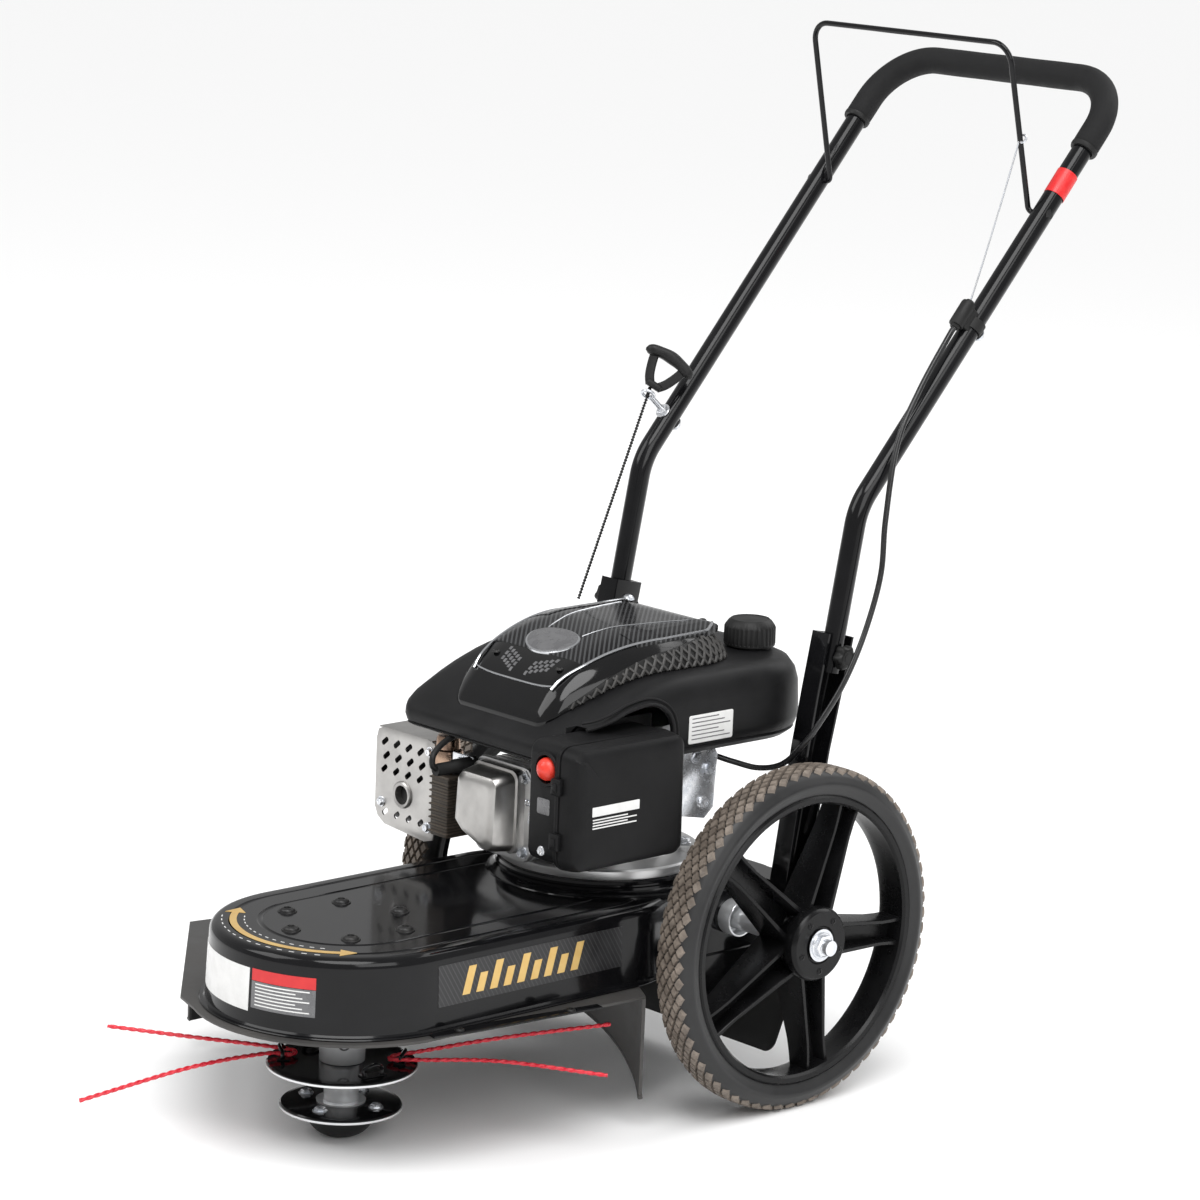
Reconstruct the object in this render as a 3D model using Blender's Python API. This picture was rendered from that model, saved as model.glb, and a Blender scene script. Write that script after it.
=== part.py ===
"""Walk-behind string-trimmer brush mower: the design solids, in metres, +Z up.

The origin is on the trimmer spindle's axis at the ground, -Y is the front, and +X is the
side of the air filter. The machine stands on its two wheels and on the skid ball.
"""

import math

import bmesh
import bpy
from mathutils import Matrix, Vector

# Driving dimensions -----------------------------------------------------------------------
GAP = 0.0003                 # clearance kept between pieces that touch
WALL = 0.002                 # pressed steel and moulded walls
TAU = 2.0 * math.pi

WHEEL_RADIUS = 0.178
AXLE_Y = 0.425
AXLE_RADIUS = 0.008
AXLE_HALF_LENGTH = 0.250
TYRE_INNER_X = 0.1735
TYRE_OUTER_X = 0.2195
RIM_RADIUS = 0.150
RIM_FACE_X = 0.235
SPOKES = 5
SPOKE_START = math.radians(24.0)

DECK_BOTTOM = 0.1395
DECK_TOP = 0.218
DECK_HALF = 0.136
DECK_REAR_HALF = 0.100
DECK_REAR = 0.500
FLANGE = 0.006
PEDESTAL_TOP = 0.2345
PEDESTAL_RADIUS = 0.107
GUARD_TOP = 0.139
GUARD_RADIUS = 0.300
GUARD_EDGE_X = 0.168

SHAFT_RADIUS = 0.010
HUB_RADIUS = 0.023
LINE_DISC_Z = 0.0745
LINE_DISC_RADIUS = 0.0743
LOWER_DISC_Z = 0.0325
LOWER_DISC_RADIUS = 0.0603
DISC_HALF = 0.002
BALL_RADIUS = 0.036
LINE_RADIUS = 0.0015

ENGINE_Y = 0.335
CYLINDER_FRONT = 0.206
PRIMER = Vector((0.131, 0.144, 0.3790))
CRANK_RADIUS = 0.0125
PULLEY_BOTTOM = 0.155
PULLEY_TOP = 0.173
ENGINE_PULLEY_RADIUS = 0.038
SPINDLE_PULLEY_RADIUS = 0.055
IDLER_RADIUS = 0.020
BELT_HALF_WIDTH = 0.0045
BELT_THICKNESS = 0.006

TUBE_RADIUS = 0.011
TUBE_WALL = 0.0018
FOAM_RADIUS = 0.0145
FOAM_LEG = 0.090
PIVOT = Vector((0.0, 0.496, 0.455))
BEND = Vector((0.0, 0.5243, 0.6045))
TOP = Vector((0.0, 0.8895, 1.0226))
BEND_HALF = 0.160
TOP_HALF = 0.165
PIVOT_HALF = 0.1605
UPRIGHT_DEPTH = 0.038
UPRIGHT_WEB_X = 0.1455
UPRIGHT_EDGE_X = 0.170

BAIL_RADIUS = 0.003
BAIL_PIVOT = Vector((0.0, 0.7732, 0.8909))
BAIL_TOP = Vector((0.0, 0.7316, 1.0653))
BAIL_HALF = 0.1445

PULL_AXIS = Vector((-0.3, 0.6, 0.742)).normalized()
ROPE_RADIUS = 0.002
CABLE_RADIUS = 0.003

HANDLE_LEG = (TOP - BEND).normalized()
LOWER_LEG = (BEND - PIVOT).normalized()
LEG_FRONT = Vector((0.0, -HANDLE_LEG.z, HANDLE_LEG.y))


# Helpers ----------------------------------------------------------------------------------
def clear_scene():
    """Remove every object that the file starts with."""
    for obj in list(bpy.data.objects):
        bpy.data.objects.remove(obj, do_unlink=True)


def material(name, colour, roughness, metallic=0.0):
    """Return a Principled material with one colour."""
    found = bpy.data.materials.get(name)
    if found:
        return found
    made = bpy.data.materials.new(name)
    made.use_nodes = True
    shader = made.node_tree.nodes["Principled BSDF"]
    shader.inputs["Base Color"].default_value = (*colour, 1.0)
    shader.inputs["Roughness"].default_value = roughness
    shader.inputs["Metallic"].default_value = metallic
    return made


def steel_black():
    return material("black_paint", (0.012, 0.012, 0.013), 0.18)


def plastic_black():
    return material("black_plastic", (0.03, 0.03, 0.032), 0.5)


def gloss_plastic():
    return material("gloss_black_plastic", (0.015, 0.015, 0.016), 0.12)


def zinc():
    return material("zinc", (0.72, 0.74, 0.76), 0.3, 1.0)


def cast_alloy():
    return material("cast_alloy", (0.62, 0.62, 0.62), 0.42, 1.0)


def rubber():
    return material("rubber", (0.05, 0.05, 0.05), 0.75)


def foam():
    return material("foam", (0.035, 0.035, 0.037), 0.9)


def red_line():
    return material("red_nylon", (0.7, 0.03, 0.04), 0.4)


def red_bulb():
    return material("red_rubber", (0.75, 0.05, 0.03), 0.4)


def rope_black():
    return material("rope", (0.02, 0.02, 0.022), 0.8)


def finish_mesh(bm, name):
    """Turn a bmesh into a mesh whose faces point outward."""
    bmesh.ops.recalc_face_normals(bm, faces=bm.faces)
    mesh = bpy.data.meshes.new(name)
    bm.to_mesh(mesh)
    bm.free()
    return mesh


def add(name, mesh, look, origin=(0.0, 0.0, 0.0), parent=None):
    """Link a mesh made in world coordinates as an object whose origin is at origin."""
    mesh.transform(Matrix.Translation(-Vector(origin)))
    mesh.name = name
    obj = bpy.data.objects.new(name, mesh)
    bpy.context.collection.objects.link(obj)
    mesh.materials.clear()
    mesh.materials.append(look)
    mesh.shade_smooth()
    mesh.set_sharp_from_angle(angle=math.radians(35.0))
    if parent:
        obj.parent = parent
        obj.location = Vector(origin) - parent.location
    else:
        obj.location = origin
    return obj


def empty(name, location):
    """Add an empty that stands on a joint's axis."""
    obj = bpy.data.objects.new(name, None)
    bpy.context.collection.objects.link(obj)
    obj.location = location
    return obj


def cutter(name, mesh):
    """Link a mesh as a hidden Boolean cutter."""
    obj = bpy.data.objects.new(name, mesh)
    bpy.context.collection.objects.link(obj)
    obj.hide_render = True
    obj.display_type = "WIRE"
    return obj


def boolean(obj, other, operation="DIFFERENCE"):
    """Add an exact Boolean with another object."""
    modifier = obj.modifiers.new(operation.title(), "BOOLEAN")
    modifier.object = other
    modifier.operation = operation
    modifier.solver = "EXACT"


def box_mesh(low, high, bevel=0.0):
    """Return a box between two corners, with its edges bevelled."""
    bm = bmesh.new()
    bmesh.ops.create_cube(bm, size=1.0)
    low, high = Vector(low), Vector(high)
    size = high - low
    for vert in bm.verts:
        vert.co = Vector([(low[i] + high[i]) / 2 + vert.co[i] * size[i] for i in range(3)])
    if bevel:
        bmesh.ops.bevel(bm, geom=bm.edges[:], offset=bevel, segments=2, profile=0.5, affect="EDGES")
    return finish_mesh(bm, "box")


AXES = {
    "X": Matrix(((0, 0, 1), (1, 0, 0), (0, 1, 0))).to_4x4(),
    "Y": Matrix(((1, 0, 0), (0, 0, -1), (0, 1, 0))).to_4x4(),
    "Z": Matrix.Identity(4),
}


def turned_mesh(profile, axis="Z", centre=(0.0, 0.0, 0.0), segments=24):
    """Spin a closed profile of (radius, height) points about an axis through centre.

    A profile that starts and ends on the axis makes a solid; any other makes a ring.
    Heights run along +X, -Y or +Z.
    """
    bm = bmesh.new()
    verts = [bm.verts.new((r, 0.0, h)) for r, h in profile]
    edges = [bm.edges.new(pair) for pair in zip(verts, verts[1:])]
    if profile[0][0] > 0.0 or profile[-1][0] > 0.0:
        edges.append(bm.edges.new((verts[-1], verts[0])))
    bmesh.ops.spin(bm, geom=verts + edges, cent=(0, 0, 0), axis=(0, 0, 1), angle=TAU,
                   steps=segments, use_merge=True)
    bmesh.ops.remove_doubles(bm, verts=bm.verts, dist=1e-6)
    bm.transform(Matrix.Translation(centre) @ AXES[axis])
    return finish_mesh(bm, "turned")


def rod_mesh(radius, low, high, axis="Z", centre=(0.0, 0.0, 0.0), segments=20, hole=0.0):
    """Return a round rod or, with a hole, a sleeve, from low to high along an axis."""
    profile = [(hole, low), (radius, low), (radius, high), (hole, high)]
    return turned_mesh(profile, axis, centre, segments)


def loft_mesh(rings, closed=False):
    """Bridge rings of equal length; the ends are capped unless the loft closes on itself."""
    bm = bmesh.new()
    loops = [[bm.verts.new(p) for p in ring] for ring in rings]
    pairs = list(zip(loops, loops[1:]))
    if closed:
        pairs.append((loops[-1], loops[0]))
    for one, two in pairs:
        for i in range(len(one)):
            j = (i + 1) % len(one)
            bm.faces.new((one[i], one[j], two[j], two[i]))
    if not closed:
        bm.faces.new(loops[0])
        bm.faces.new(loops[-1])
    return finish_mesh(bm, "loft")


def prism_mesh(outline, low, high, axis="Z"):
    """Extrude an outline of (a, b) points from low to high along Z or X."""
    if axis == "Z":
        rings = [[(a, b, h) for a, b in outline] for h in (low, high)]
    else:
        rings = [[(h, a, b) for a, b in outline] for h in (low, high)]
    return loft_mesh(rings)


def rounded_box_outline(half, front, rear, front_round, rear_round, steps=5, side_steps=5):
    """Return a plan outline, counter-clockwise, with rounded corners and divided sides."""
    corners = (
        (half - rear_round, rear - rear_round, rear_round, 0.0),
        (-half + rear_round, rear - rear_round, rear_round, 90.0),
        (-half + front_round, front + front_round, front_round, 180.0),
        (half - front_round, front + front_round, front_round, 270.0),
    )
    points = []
    for k, (x, y, radius, start) in enumerate(corners):
        for i in range(steps + 1):
            angle = math.radians(start + 90.0 * i / steps)
            points.append((x + radius * math.cos(angle), y + radius * math.sin(angle)))
        if k in (1, 3):
            low, high = front + front_round, rear - rear_round
            ends = (high, low) if k == 1 else (low, high)
            for i in range(1, side_steps):
                place = ends[0] + (ends[1] - ends[0]) * i / side_steps
                points.append((points[-1][0], place))
    return points


def deck_outline(grow, steps=20):
    """Return the deck's plan, offset outward by grow: a tongue with a narrower tail."""
    half = DECK_HALF + grow
    tail = DECK_REAR_HALF + grow
    rear = DECK_REAR + grow
    points = [(tail, rear), (-tail, rear), (-tail, 0.37), (-half, 0.29)]
    for i in range(steps + 1):
        angle = math.pi + math.pi * i / steps
        points.append((half * math.cos(angle), half * math.sin(angle)))
    points += [(half, 0.29), (tail, 0.37)]
    return points


def at_height(outline, z):
    """Lift a plan outline to a height."""
    return [(x, y, z) for x, y in outline]


def smooth_route(knots, count):
    """Return count points, evenly spaced, along a Catmull-Rom curve through the knots."""
    knots = [Vector(k) for k in knots]
    ends = [2 * knots[0] - knots[1]] + knots + [2 * knots[-1] - knots[-2]]
    fine = []
    for a, b, c, d in zip(ends, ends[1:], ends[2:], ends[3:]):
        for i in range(20):
            t = i / 20
            fine.append(0.5 * (2 * b + (c - a) * t + (2 * a - 5 * b + 4 * c - d) * t * t
                               + (3 * b - 3 * c + d - a) * t ** 3))
    fine.append(knots[-1])
    lengths = [0.0]
    for one, two in zip(fine, fine[1:]):
        lengths.append(lengths[-1] + (two - one).length)
    points = []
    j = 0
    for i in range(count):
        target = lengths[-1] * i / (count - 1)
        while j < len(fine) - 2 and lengths[j + 1] < target:
            j += 1
        share = (target - lengths[j]) / max(lengths[j + 1] - lengths[j], 1e-9)
        points.append(fine[j].lerp(fine[j + 1], min(max(share, 0.0), 1.0)))
    return points


def filleted(corners, radii, steps=6):
    """Return the path through corners with each inner corner rounded to its radius."""
    path = [Vector(corners[0])]
    for before, corner, after, radius in zip(corners, corners[1:], corners[2:], radii):
        corner = Vector(corner)
        into = (Vector(before) - corner).normalized()
        out = (Vector(after) - corner).normalized()
        half_angle = into.angle(out) / 2
        reach = radius / math.tan(half_angle)
        centre = corner + (into + out).normalized() * radius / math.sin(half_angle)
        start = corner + into * reach - centre
        turn = math.pi - 2 * half_angle
        normal = start.cross(corner + out * reach - centre).normalized()
        for i in range(steps + 1):
            path.append(centre + Matrix.Rotation(turn * i / steps, 3, normal) @ start)
    path.append(Vector(corners[-1]))
    return path


def path_curve(name, points, radius, resolution, caps=True):
    """Return curve data: a round tube along a poly line of points."""
    curve = bpy.data.curves.new(name, "CURVE")
    curve.dimensions = "3D"
    curve.bevel_depth = radius
    curve.bevel_resolution = resolution
    curve.use_fill_caps = caps
    spline = curve.splines.new("POLY")
    spline.points.add(len(points) - 1)
    for point, co in zip(spline.points, points):
        point.co = (*co, 1.0)
    return curve


def cord(name, points, radius, look, parent=None, resolution=2):
    """Add a cord as a curve object with filled caps."""
    origin = Vector(points[0])
    curve = path_curve(name, [Vector(p) - origin for p in points], radius, resolution)
    curve.materials.append(look)
    obj = bpy.data.objects.new(name, curve)
    bpy.context.collection.objects.link(obj)
    if parent:
        obj.parent = parent
        obj.location = origin - parent.location
    else:
        obj.location = origin
    return obj


def pipe_mesh(points, radius, resolution=2, caps=False):
    """Return the mesh of a round tube along a path, its ends open unless capped."""
    holder = bpy.data.objects.new("pipe", path_curve("pipe", points, radius, resolution, caps))
    mesh = bpy.data.meshes.new_from_object(holder)
    bpy.data.objects.remove(holder)
    bm = bmesh.new()
    bm.from_mesh(mesh)
    bmesh.ops.remove_doubles(bm, verts=bm.verts, dist=1e-6)
    return finish_mesh(bm, "pipe")


def add_wall(obj, thickness):
    """Give an open surface a wall on its inner side."""
    modifier = obj.modifiers.new("Wall", "SOLIDIFY")
    modifier.thickness = thickness
    modifier.offset = -1.0
    modifier.use_even_offset = True


# Chassis ----------------------------------------------------------------------------------
def make_deck():
    """The pressed tongue: top, side walls and an outward flange, open underneath."""
    outer = [
        at_height(deck_outline(FLANGE), DECK_BOTTOM),
        at_height(deck_outline(FLANGE), DECK_BOTTOM + WALL),
        at_height(deck_outline(0.0), DECK_BOTTOM + WALL),
        at_height(deck_outline(-0.003), DECK_TOP - 0.010),
        at_height(deck_outline(-0.006), DECK_TOP - 0.003),
        at_height(deck_outline(-0.013), DECK_TOP),
    ]
    inner = [
        at_height(deck_outline(-0.015), DECK_TOP - WALL),
        at_height(deck_outline(-0.005), DECK_TOP - 0.011),
        at_height(deck_outline(-0.002), DECK_BOTTOM),
    ]
    bm = bmesh.new()
    loops = [[bm.verts.new(p) for p in ring] for ring in outer + inner]
    cap = len(outer)
    for k, (one, two) in enumerate(zip(loops, loops[1:])):
        if k == cap - 1:
            continue
        for i in range(len(one)):
            j = (i + 1) % len(one)
            bm.faces.new((one[i], one[j], two[j], two[i]))
    for i in range(len(loops[0])):
        j = (i + 1) % len(loops[0])
        bm.faces.new((loops[0][i], loops[0][j], loops[-1][j], loops[-1][i]))
    bm.faces.new(loops[cap - 1])
    bm.faces.new(loops[cap])
    deck = add("deck_shell", finish_mesh(bm, "deck"), steel_black())
    pedestal = rod_mesh(PEDESTAL_RADIUS, DECK_TOP - WALL / 2, PEDESTAL_TOP, segments=32,
                        centre=(0, ENGINE_Y, 0))
    boolean(deck, cutter("engine_pedestal", pedestal), "UNION")
    crank_hole = rod_mesh(0.018, 0.20, 0.26, centre=(0, ENGINE_Y, 0))
    boolean(deck, cutter("crank_hole", crank_hole))
    axle_hole = rod_mesh(AXLE_RADIUS + GAP, -0.2, 0.2, "X", (0, AXLE_Y, WHEEL_RADIUS))
    boolean(deck, cutter("axle_hole", axle_hole))
    return deck


def guard_outline(steps=22):
    """Plan of the debris guard's plate: straight near edge, arc behind, straight far edge."""
    start = math.acos(GUARD_EDGE_X / GUARD_RADIUS)
    stop = math.radians(173.0)
    arc = [start + (stop - start) * i / steps for i in range(steps + 1)]
    points = [(GUARD_RADIUS * math.cos(a), GUARD_RADIUS * math.sin(a)) for a in arc]
    points += [(-0.098, -0.125), (-0.060, -0.146)]
    points += [(0.146 * math.sin(a), -0.146 * math.cos(a)) for a in (0.0, 0.35, 0.7)]
    points += [(0.148, 0.01), (GUARD_EDGE_X, 0.16)]
    return points, steps + 1


def skirt_depth(share):
    """Height of the skirt's lower edge along its arc: low ends and a raised middle."""
    return 0.032 + 0.062 * math.sin(math.pi * share) ** 0.8


def make_guard():
    """The debris guard: a plate below the deck's flange with a skirt along its rear arc."""
    outline, arc_count = guard_outline()
    inset = (GUARD_RADIUS - 0.003) / GUARD_RADIUS
    bottom = GUARD_TOP - 0.003
    bm = bmesh.new()
    top = [bm.verts.new((x, y, GUARD_TOP)) for x, y in outline]
    plate_low = []
    for k, (x, y) in enumerate(outline):
        scale = inset if k < arc_count else 1.0
        plate_low.append(bm.verts.new((x * scale, y * scale, bottom)))
    skirt_out = []
    skirt_in = []
    for k, (x, y) in enumerate(outline[:arc_count]):
        depth = skirt_depth(k / (arc_count - 1))
        skirt_out.append(bm.verts.new((x, y, depth)))
        skirt_in.append(bm.verts.new((x * inset, y * inset, depth)))
    count = len(outline)
    for k in range(arc_count - 1):
        bm.faces.new((top[k], top[k + 1], skirt_out[k + 1], skirt_out[k]))
        bm.faces.new((skirt_out[k], skirt_out[k + 1], skirt_in[k + 1], skirt_in[k]))
        bm.faces.new((skirt_in[k], skirt_in[k + 1], plate_low[k + 1], plate_low[k]))
    for k in range(arc_count - 1, count):
        n = (k + 1) % count
        if k == arc_count - 1:
            bm.faces.new((top[k], top[n], plate_low[n], plate_low[k]))
            bm.faces.new((top[k], plate_low[k], skirt_in[k], skirt_out[k]))
        elif n == 0:
            bm.faces.new((top[k], top[n], plate_low[n], plate_low[k]))
            bm.faces.new((top[n], skirt_out[0], skirt_in[0], plate_low[n]))
        else:
            bm.faces.new((top[k], top[n], plate_low[n], plate_low[k]))
    bm.faces.new(top)
    bm.faces.new(plate_low)
    guard = add("debris_guard", finish_mesh(bm, "guard"), plastic_black())
    opening = rod_mesh(0.034, 0.10, 0.20)
    boolean(guard, cutter("hub_opening", opening))
    pulley_opening = rod_mesh(0.022, 0.10, 0.20, centre=(0, ENGINE_Y, 0))
    boolean(guard, cutter("shaft_opening", pulley_opening))
    return guard


def make_rear_flap():
    """The flap that hangs between the wheels behind the axle."""
    outline = [(-0.120, 0.026), (0.120, 0.026), (0.160, 0.100), (0.160, 0.135),
               (-0.160, 0.135), (-0.160, 0.100)]
    rings = [[(x, y, z) for x, z in outline] for y in (0.4720, 0.4750)]
    add("rear_flap", loft_mesh(rings), rubber())


def make_crossmember():
    """The plate across the deck's tail that carries the two uprights."""
    tab = UPRIGHT_WEB_X - 0.001
    thick = 0.003
    low, high = 0.1950, 0.2215
    under = high - thick
    profile = [(-tab, low), (thick - tab, low), (thick - tab, under), (tab - thick, under),
               (tab - thick, low), (tab, low), (tab, high), (-tab, high)]
    rings = [[(x, y, z) for x, z in profile] for y in (0.4435, 0.4780)]
    add("rear_crossmember", loft_mesh(rings), steel_black(), (0.0, AXLE_Y, DECK_TOP))


def upright_centre(z):
    """Y of the upright's centre line at a height: it meets the lower handle leg's line."""
    foot = Vector((0.4480, 0.1980))
    knee = Vector((0.4750, 0.3600))
    head = Vector((0.4995, 0.4760))
    low, high = (foot, knee) if z < knee.y else (knee, head)
    return low.x + (high.x - low.x) * (z - low.y) / (high.y - low.y)


def upright_profile(centre, z, side, depth):
    """One channel section at a height, open away from the machine."""
    web, edge = UPRIGHT_WEB_X, UPRIGHT_EDGE_X
    half = depth / 2
    thick = 0.003
    points = [(web, -half), (edge, -half), (edge, -half + thick), (web + thick, -half + thick),
              (web + thick, half - thick), (edge, half - thick), (edge, half), (web, half)]
    return [(side * x, centre + y, z) for x, y in points]


def make_upright(name, side):
    """A steel channel from the crossmember up to the handle's pivot."""
    heights = ((0.198, 0.030), (0.360, 0.034), (0.420, UPRIGHT_DEPTH), (0.476, UPRIGHT_DEPTH))
    rings = [upright_profile(upright_centre(z), z, side, depth) for z, depth in heights]
    origin = (side * UPRIGHT_WEB_X, 0.448, 0.198)
    upright = add(name, loft_mesh(rings), steel_black(), origin)
    hole = rod_mesh(0.004 + GAP, 0.13, 0.18, "X", (0, PIVOT.y, PIVOT.z))
    if side < 0:
        hole.transform(Matrix.Scale(-1, 4, (1, 0, 0)))
        hole.flip_normals()
    boolean(upright, cutter(name + "_hole", hole))


def mirrored(mesh, side):
    """Mirror a mesh to the -X side when side is negative."""
    if side < 0:
        mesh.transform(Matrix.Scale(-1, 4, (1, 0, 0)))
        mesh.flip_normals()
    return mesh


def make_pivot_hardware(name, side):
    """The bolt through the upright and the handle leg, and the knob on its outer end."""
    head = UPRIGHT_WEB_X - 0.006
    profile = [(0.0, head), (0.0065, head), (0.0065, UPRIGHT_WEB_X - GAP),
               (0.004, UPRIGHT_WEB_X - GAP), (0.004, 0.180), (0.0, 0.180)]
    bolt = mirrored(turned_mesh(profile, "X", (0, PIVOT.y, PIVOT.z), 16), side)
    add(name + "_pivot_bolt", bolt, zinc(), (side * UPRIGHT_WEB_X, PIVOT.y, PIVOT.z))
    knob_profile = [(0.004 + GAP, 0.1725), (0.009, 0.1725), (0.0130, 0.175), (0.0130, 0.183),
                    (0.010, 0.185), (0.0, 0.185), (0.0, 0.1805), (0.004 + GAP, 0.1805)]
    knob = mirrored(turned_mesh(knob_profile, "X", (0, PIVOT.y, PIVOT.z), 18), side)
    add(name + "_knob", knob, plastic_black(), (side * 0.180, PIVOT.y, PIVOT.z))


# Wheels -----------------------------------------------------------------------------------
def make_wheel(name, side):
    """A tyre ring and a spoked rim on the fixed axle, with its nut."""
    hub = empty(name + "_wheel_axis", (side * 0.2, AXLE_Y, WHEEL_RADIUS))
    centre = (0.0, AXLE_Y, WHEEL_RADIUS)
    inside, outside = TYRE_INNER_X, TYRE_OUTER_X
    rim = RIM_RADIUS
    top = WHEEL_RADIUS
    tyre = [(rim + GAP, inside + 0.004), (rim + 0.010, inside), (top - 0.008, inside + 0.0005),
            (top - 0.0015, inside + 0.006), (top, inside + 0.014), (top, outside - 0.014),
            (top - 0.0015, outside - 0.006), (top - 0.008, outside - 0.0005),
            (rim + 0.010, outside), (rim + GAP, outside - 0.004)]
    mesh = mirrored(turned_mesh(tyre, "X", centre, 40), side)
    add(name + "_tyre", mesh, rubber(), hub.location, hub)

    ring = [(rim - 0.008, inside + 0.006), (rim, inside + 0.005), (rim, outside - 0.005),
            (rim - 0.008, outside - 0.006)]
    ring_mesh = turned_mesh(ring, "X", centre, 40)
    bore = AXLE_RADIUS + GAP
    hub_profile = [(bore, 0.168), (0.021, 0.168), (0.021, 0.196), (0.0375, 0.222),
                   (0.0375, RIM_FACE_X - 0.003), (0.034, RIM_FACE_X), (bore, RIM_FACE_X)]
    hub_mesh = turned_mesh(hub_profile, "X", centre, 24)
    rim_object = add(name + "_rim", mirrored(ring_mesh, side), plastic_black(), hub.location, hub)
    boolean(rim_object, cutter(name + "_hub_core", mirrored(hub_mesh, side)), "UNION")
    for k in range(SPOKES):
        spoke = spoke_mesh()
        turn = Matrix.Rotation(-(SPOKE_START + k * TAU / SPOKES), 4, "X")
        spoke.transform(Matrix.Translation(centre) @ turn)
        boolean(rim_object, cutter(f"{name}_spoke_{k}", mirrored(spoke, side)), "UNION")

    nut = [(AXLE_RADIUS + GAP, RIM_FACE_X + 0.001), (0.0125, RIM_FACE_X + 0.001),
           (0.0125, RIM_FACE_X + 0.009), (AXLE_RADIUS + GAP, RIM_FACE_X + 0.009)]
    nut_mesh = mirrored(turned_mesh(nut, "X", centre, 12), side)
    add(name + "_wheel_nut", nut_mesh, zinc(), (side * RIM_FACE_X, AXLE_Y, WHEEL_RADIUS))

    cup = [(AXLE_RADIUS + GAP, 0.1010), (0.014, 0.1010), (0.0185, 0.106), (0.0185, 0.1200),
           (0.0165, 0.1200), (0.0165, 0.107), (0.012, 0.1030), (AXLE_RADIUS + GAP, 0.1030)]
    cup_mesh = mirrored(turned_mesh(cup, "X", centre, 20), side)
    add(name + "_spacer_cup", cup_mesh, zinc(), (side * 0.11, AXLE_Y, WHEEL_RADIUS))


def spoke_mesh():
    """One spoke from the hub to the rim along +Z, wider and deeper at the hub."""
    inner = [(0.179, -0.013), (0.2185, -0.013), (0.2185, 0.013), (0.179, 0.013)]
    outer = [(0.186, -0.010), (0.207, -0.010), (0.207, 0.010), (0.186, 0.010)]
    rings = [[(x, y, 0.0190) for x, y in inner], [(x, y, RIM_RADIUS - 0.005) for x, y in outer]]
    return loft_mesh(rings)


def make_axle():
    """The fixed axle across the deck's tail."""
    half = AXLE_HALF_LENGTH
    mesh = rod_mesh(AXLE_RADIUS, -half, half, "X", (0, AXLE_Y, WHEEL_RADIUS), 20, hole=0.0)
    add("axle", mesh, zinc(), (0.0, AXLE_Y, WHEEL_RADIUS))


# Trimmer head and belt drive --------------------------------------------------------------
def make_spindle():
    """The shaft, hub, discs, spacer, pulley and skid ball, all on the spindle's axis."""
    axis = empty("spindle_axis", (0.0, 0.0, LINE_DISC_Z))
    bore = SHAFT_RADIUS + GAP
    shaft = rod_mesh(SHAFT_RADIUS, LOWER_DISC_Z - DISC_HALF, 0.2120, segments=20)
    add("spindle_shaft", shaft, zinc(), axis.location, axis)
    hub_low = LINE_DISC_Z + DISC_HALF + GAP
    hub = rod_mesh(HUB_RADIUS, hub_low, 0.1535, hole=bore, segments=28)
    add("spindle_hub", hub, zinc(), axis.location, axis)
    line_disc = disc_profile(LINE_DISC_RADIUS, LINE_DISC_Z, bore)
    add("line_disc", turned_mesh(line_disc, segments=32), steel_black(), axis.location, axis)
    spacer_low = LOWER_DISC_Z + DISC_HALF + GAP
    spacer_high = LINE_DISC_Z - DISC_HALF - GAP
    spacer = rod_mesh(0.0175, spacer_low, spacer_high, hole=bore)
    add("disc_spacer", spacer, zinc(), axis.location, axis)
    lower_disc = disc_profile(LOWER_DISC_RADIUS, LOWER_DISC_Z, bore)
    add("lower_disc", turned_mesh(lower_disc, segments=28), steel_black(), axis.location, axis)
    pulley = pulley_profile(SPINDLE_PULLEY_RADIUS, bore)
    add("spindle_pulley", turned_mesh(pulley, segments=28), cast_alloy(), axis.location, axis)
    ball_top = LOWER_DISC_Z - DISC_HALF - GAP
    ball = [(0.0, 0.0), (0.009, 0.0), (0.018, 0.0025), (0.026, 0.0075), (0.032, 0.0145),
            (0.0355, 0.0225), (BALL_RADIUS, ball_top), (0.0, ball_top)]
    add("skid_ball", turned_mesh(ball, segments=24), plastic_black())


def disc_profile(radius, z, bore):
    """A pressed disc with a rim that is slightly turned down."""
    return [(bore, z - DISC_HALF), (radius - 0.004, z - DISC_HALF), (radius, z - 0.0035),
            (radius, z - 0.0010), (radius - 0.004, z + DISC_HALF), (bore, z + DISC_HALF)]


def pulley_profile(radius, bore):
    """A V-belt pulley whose groove bottom is inside the belt."""
    middle = (PULLEY_BOTTOM + PULLEY_TOP) / 2
    groove = radius - BELT_THICKNESS - 0.004
    return [(bore, PULLEY_BOTTOM), (radius, PULLEY_BOTTOM), (radius, PULLEY_BOTTOM + 0.0025),
            (groove, middle - 0.003), (groove, middle + 0.003), (radius, PULLEY_TOP - 0.0025),
            (radius, PULLEY_TOP), (bore, PULLEY_TOP)]


def make_spindle_housing():
    """The bearing housing bolted under the deck's top, with its two bearings."""
    top = DECK_TOP - WALL - GAP
    profile = [(0.0205, top - 0.040), (0.030, top - 0.040), (0.030, top - 0.006),
               (0.052, top - 0.006), (0.052, top), (0.0205, top)]
    add("spindle_housing", turned_mesh(profile, segments=28), cast_alloy(), (0, 0, top))
    for name, low in (("upper_bearing", 0.2000), ("lower_bearing", 0.1790)):
        ring = rod_mesh(0.0202, low, low + 0.012, hole=SHAFT_RADIUS + GAP)
        add(name, ring, zinc(), (0, 0, low))


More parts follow.
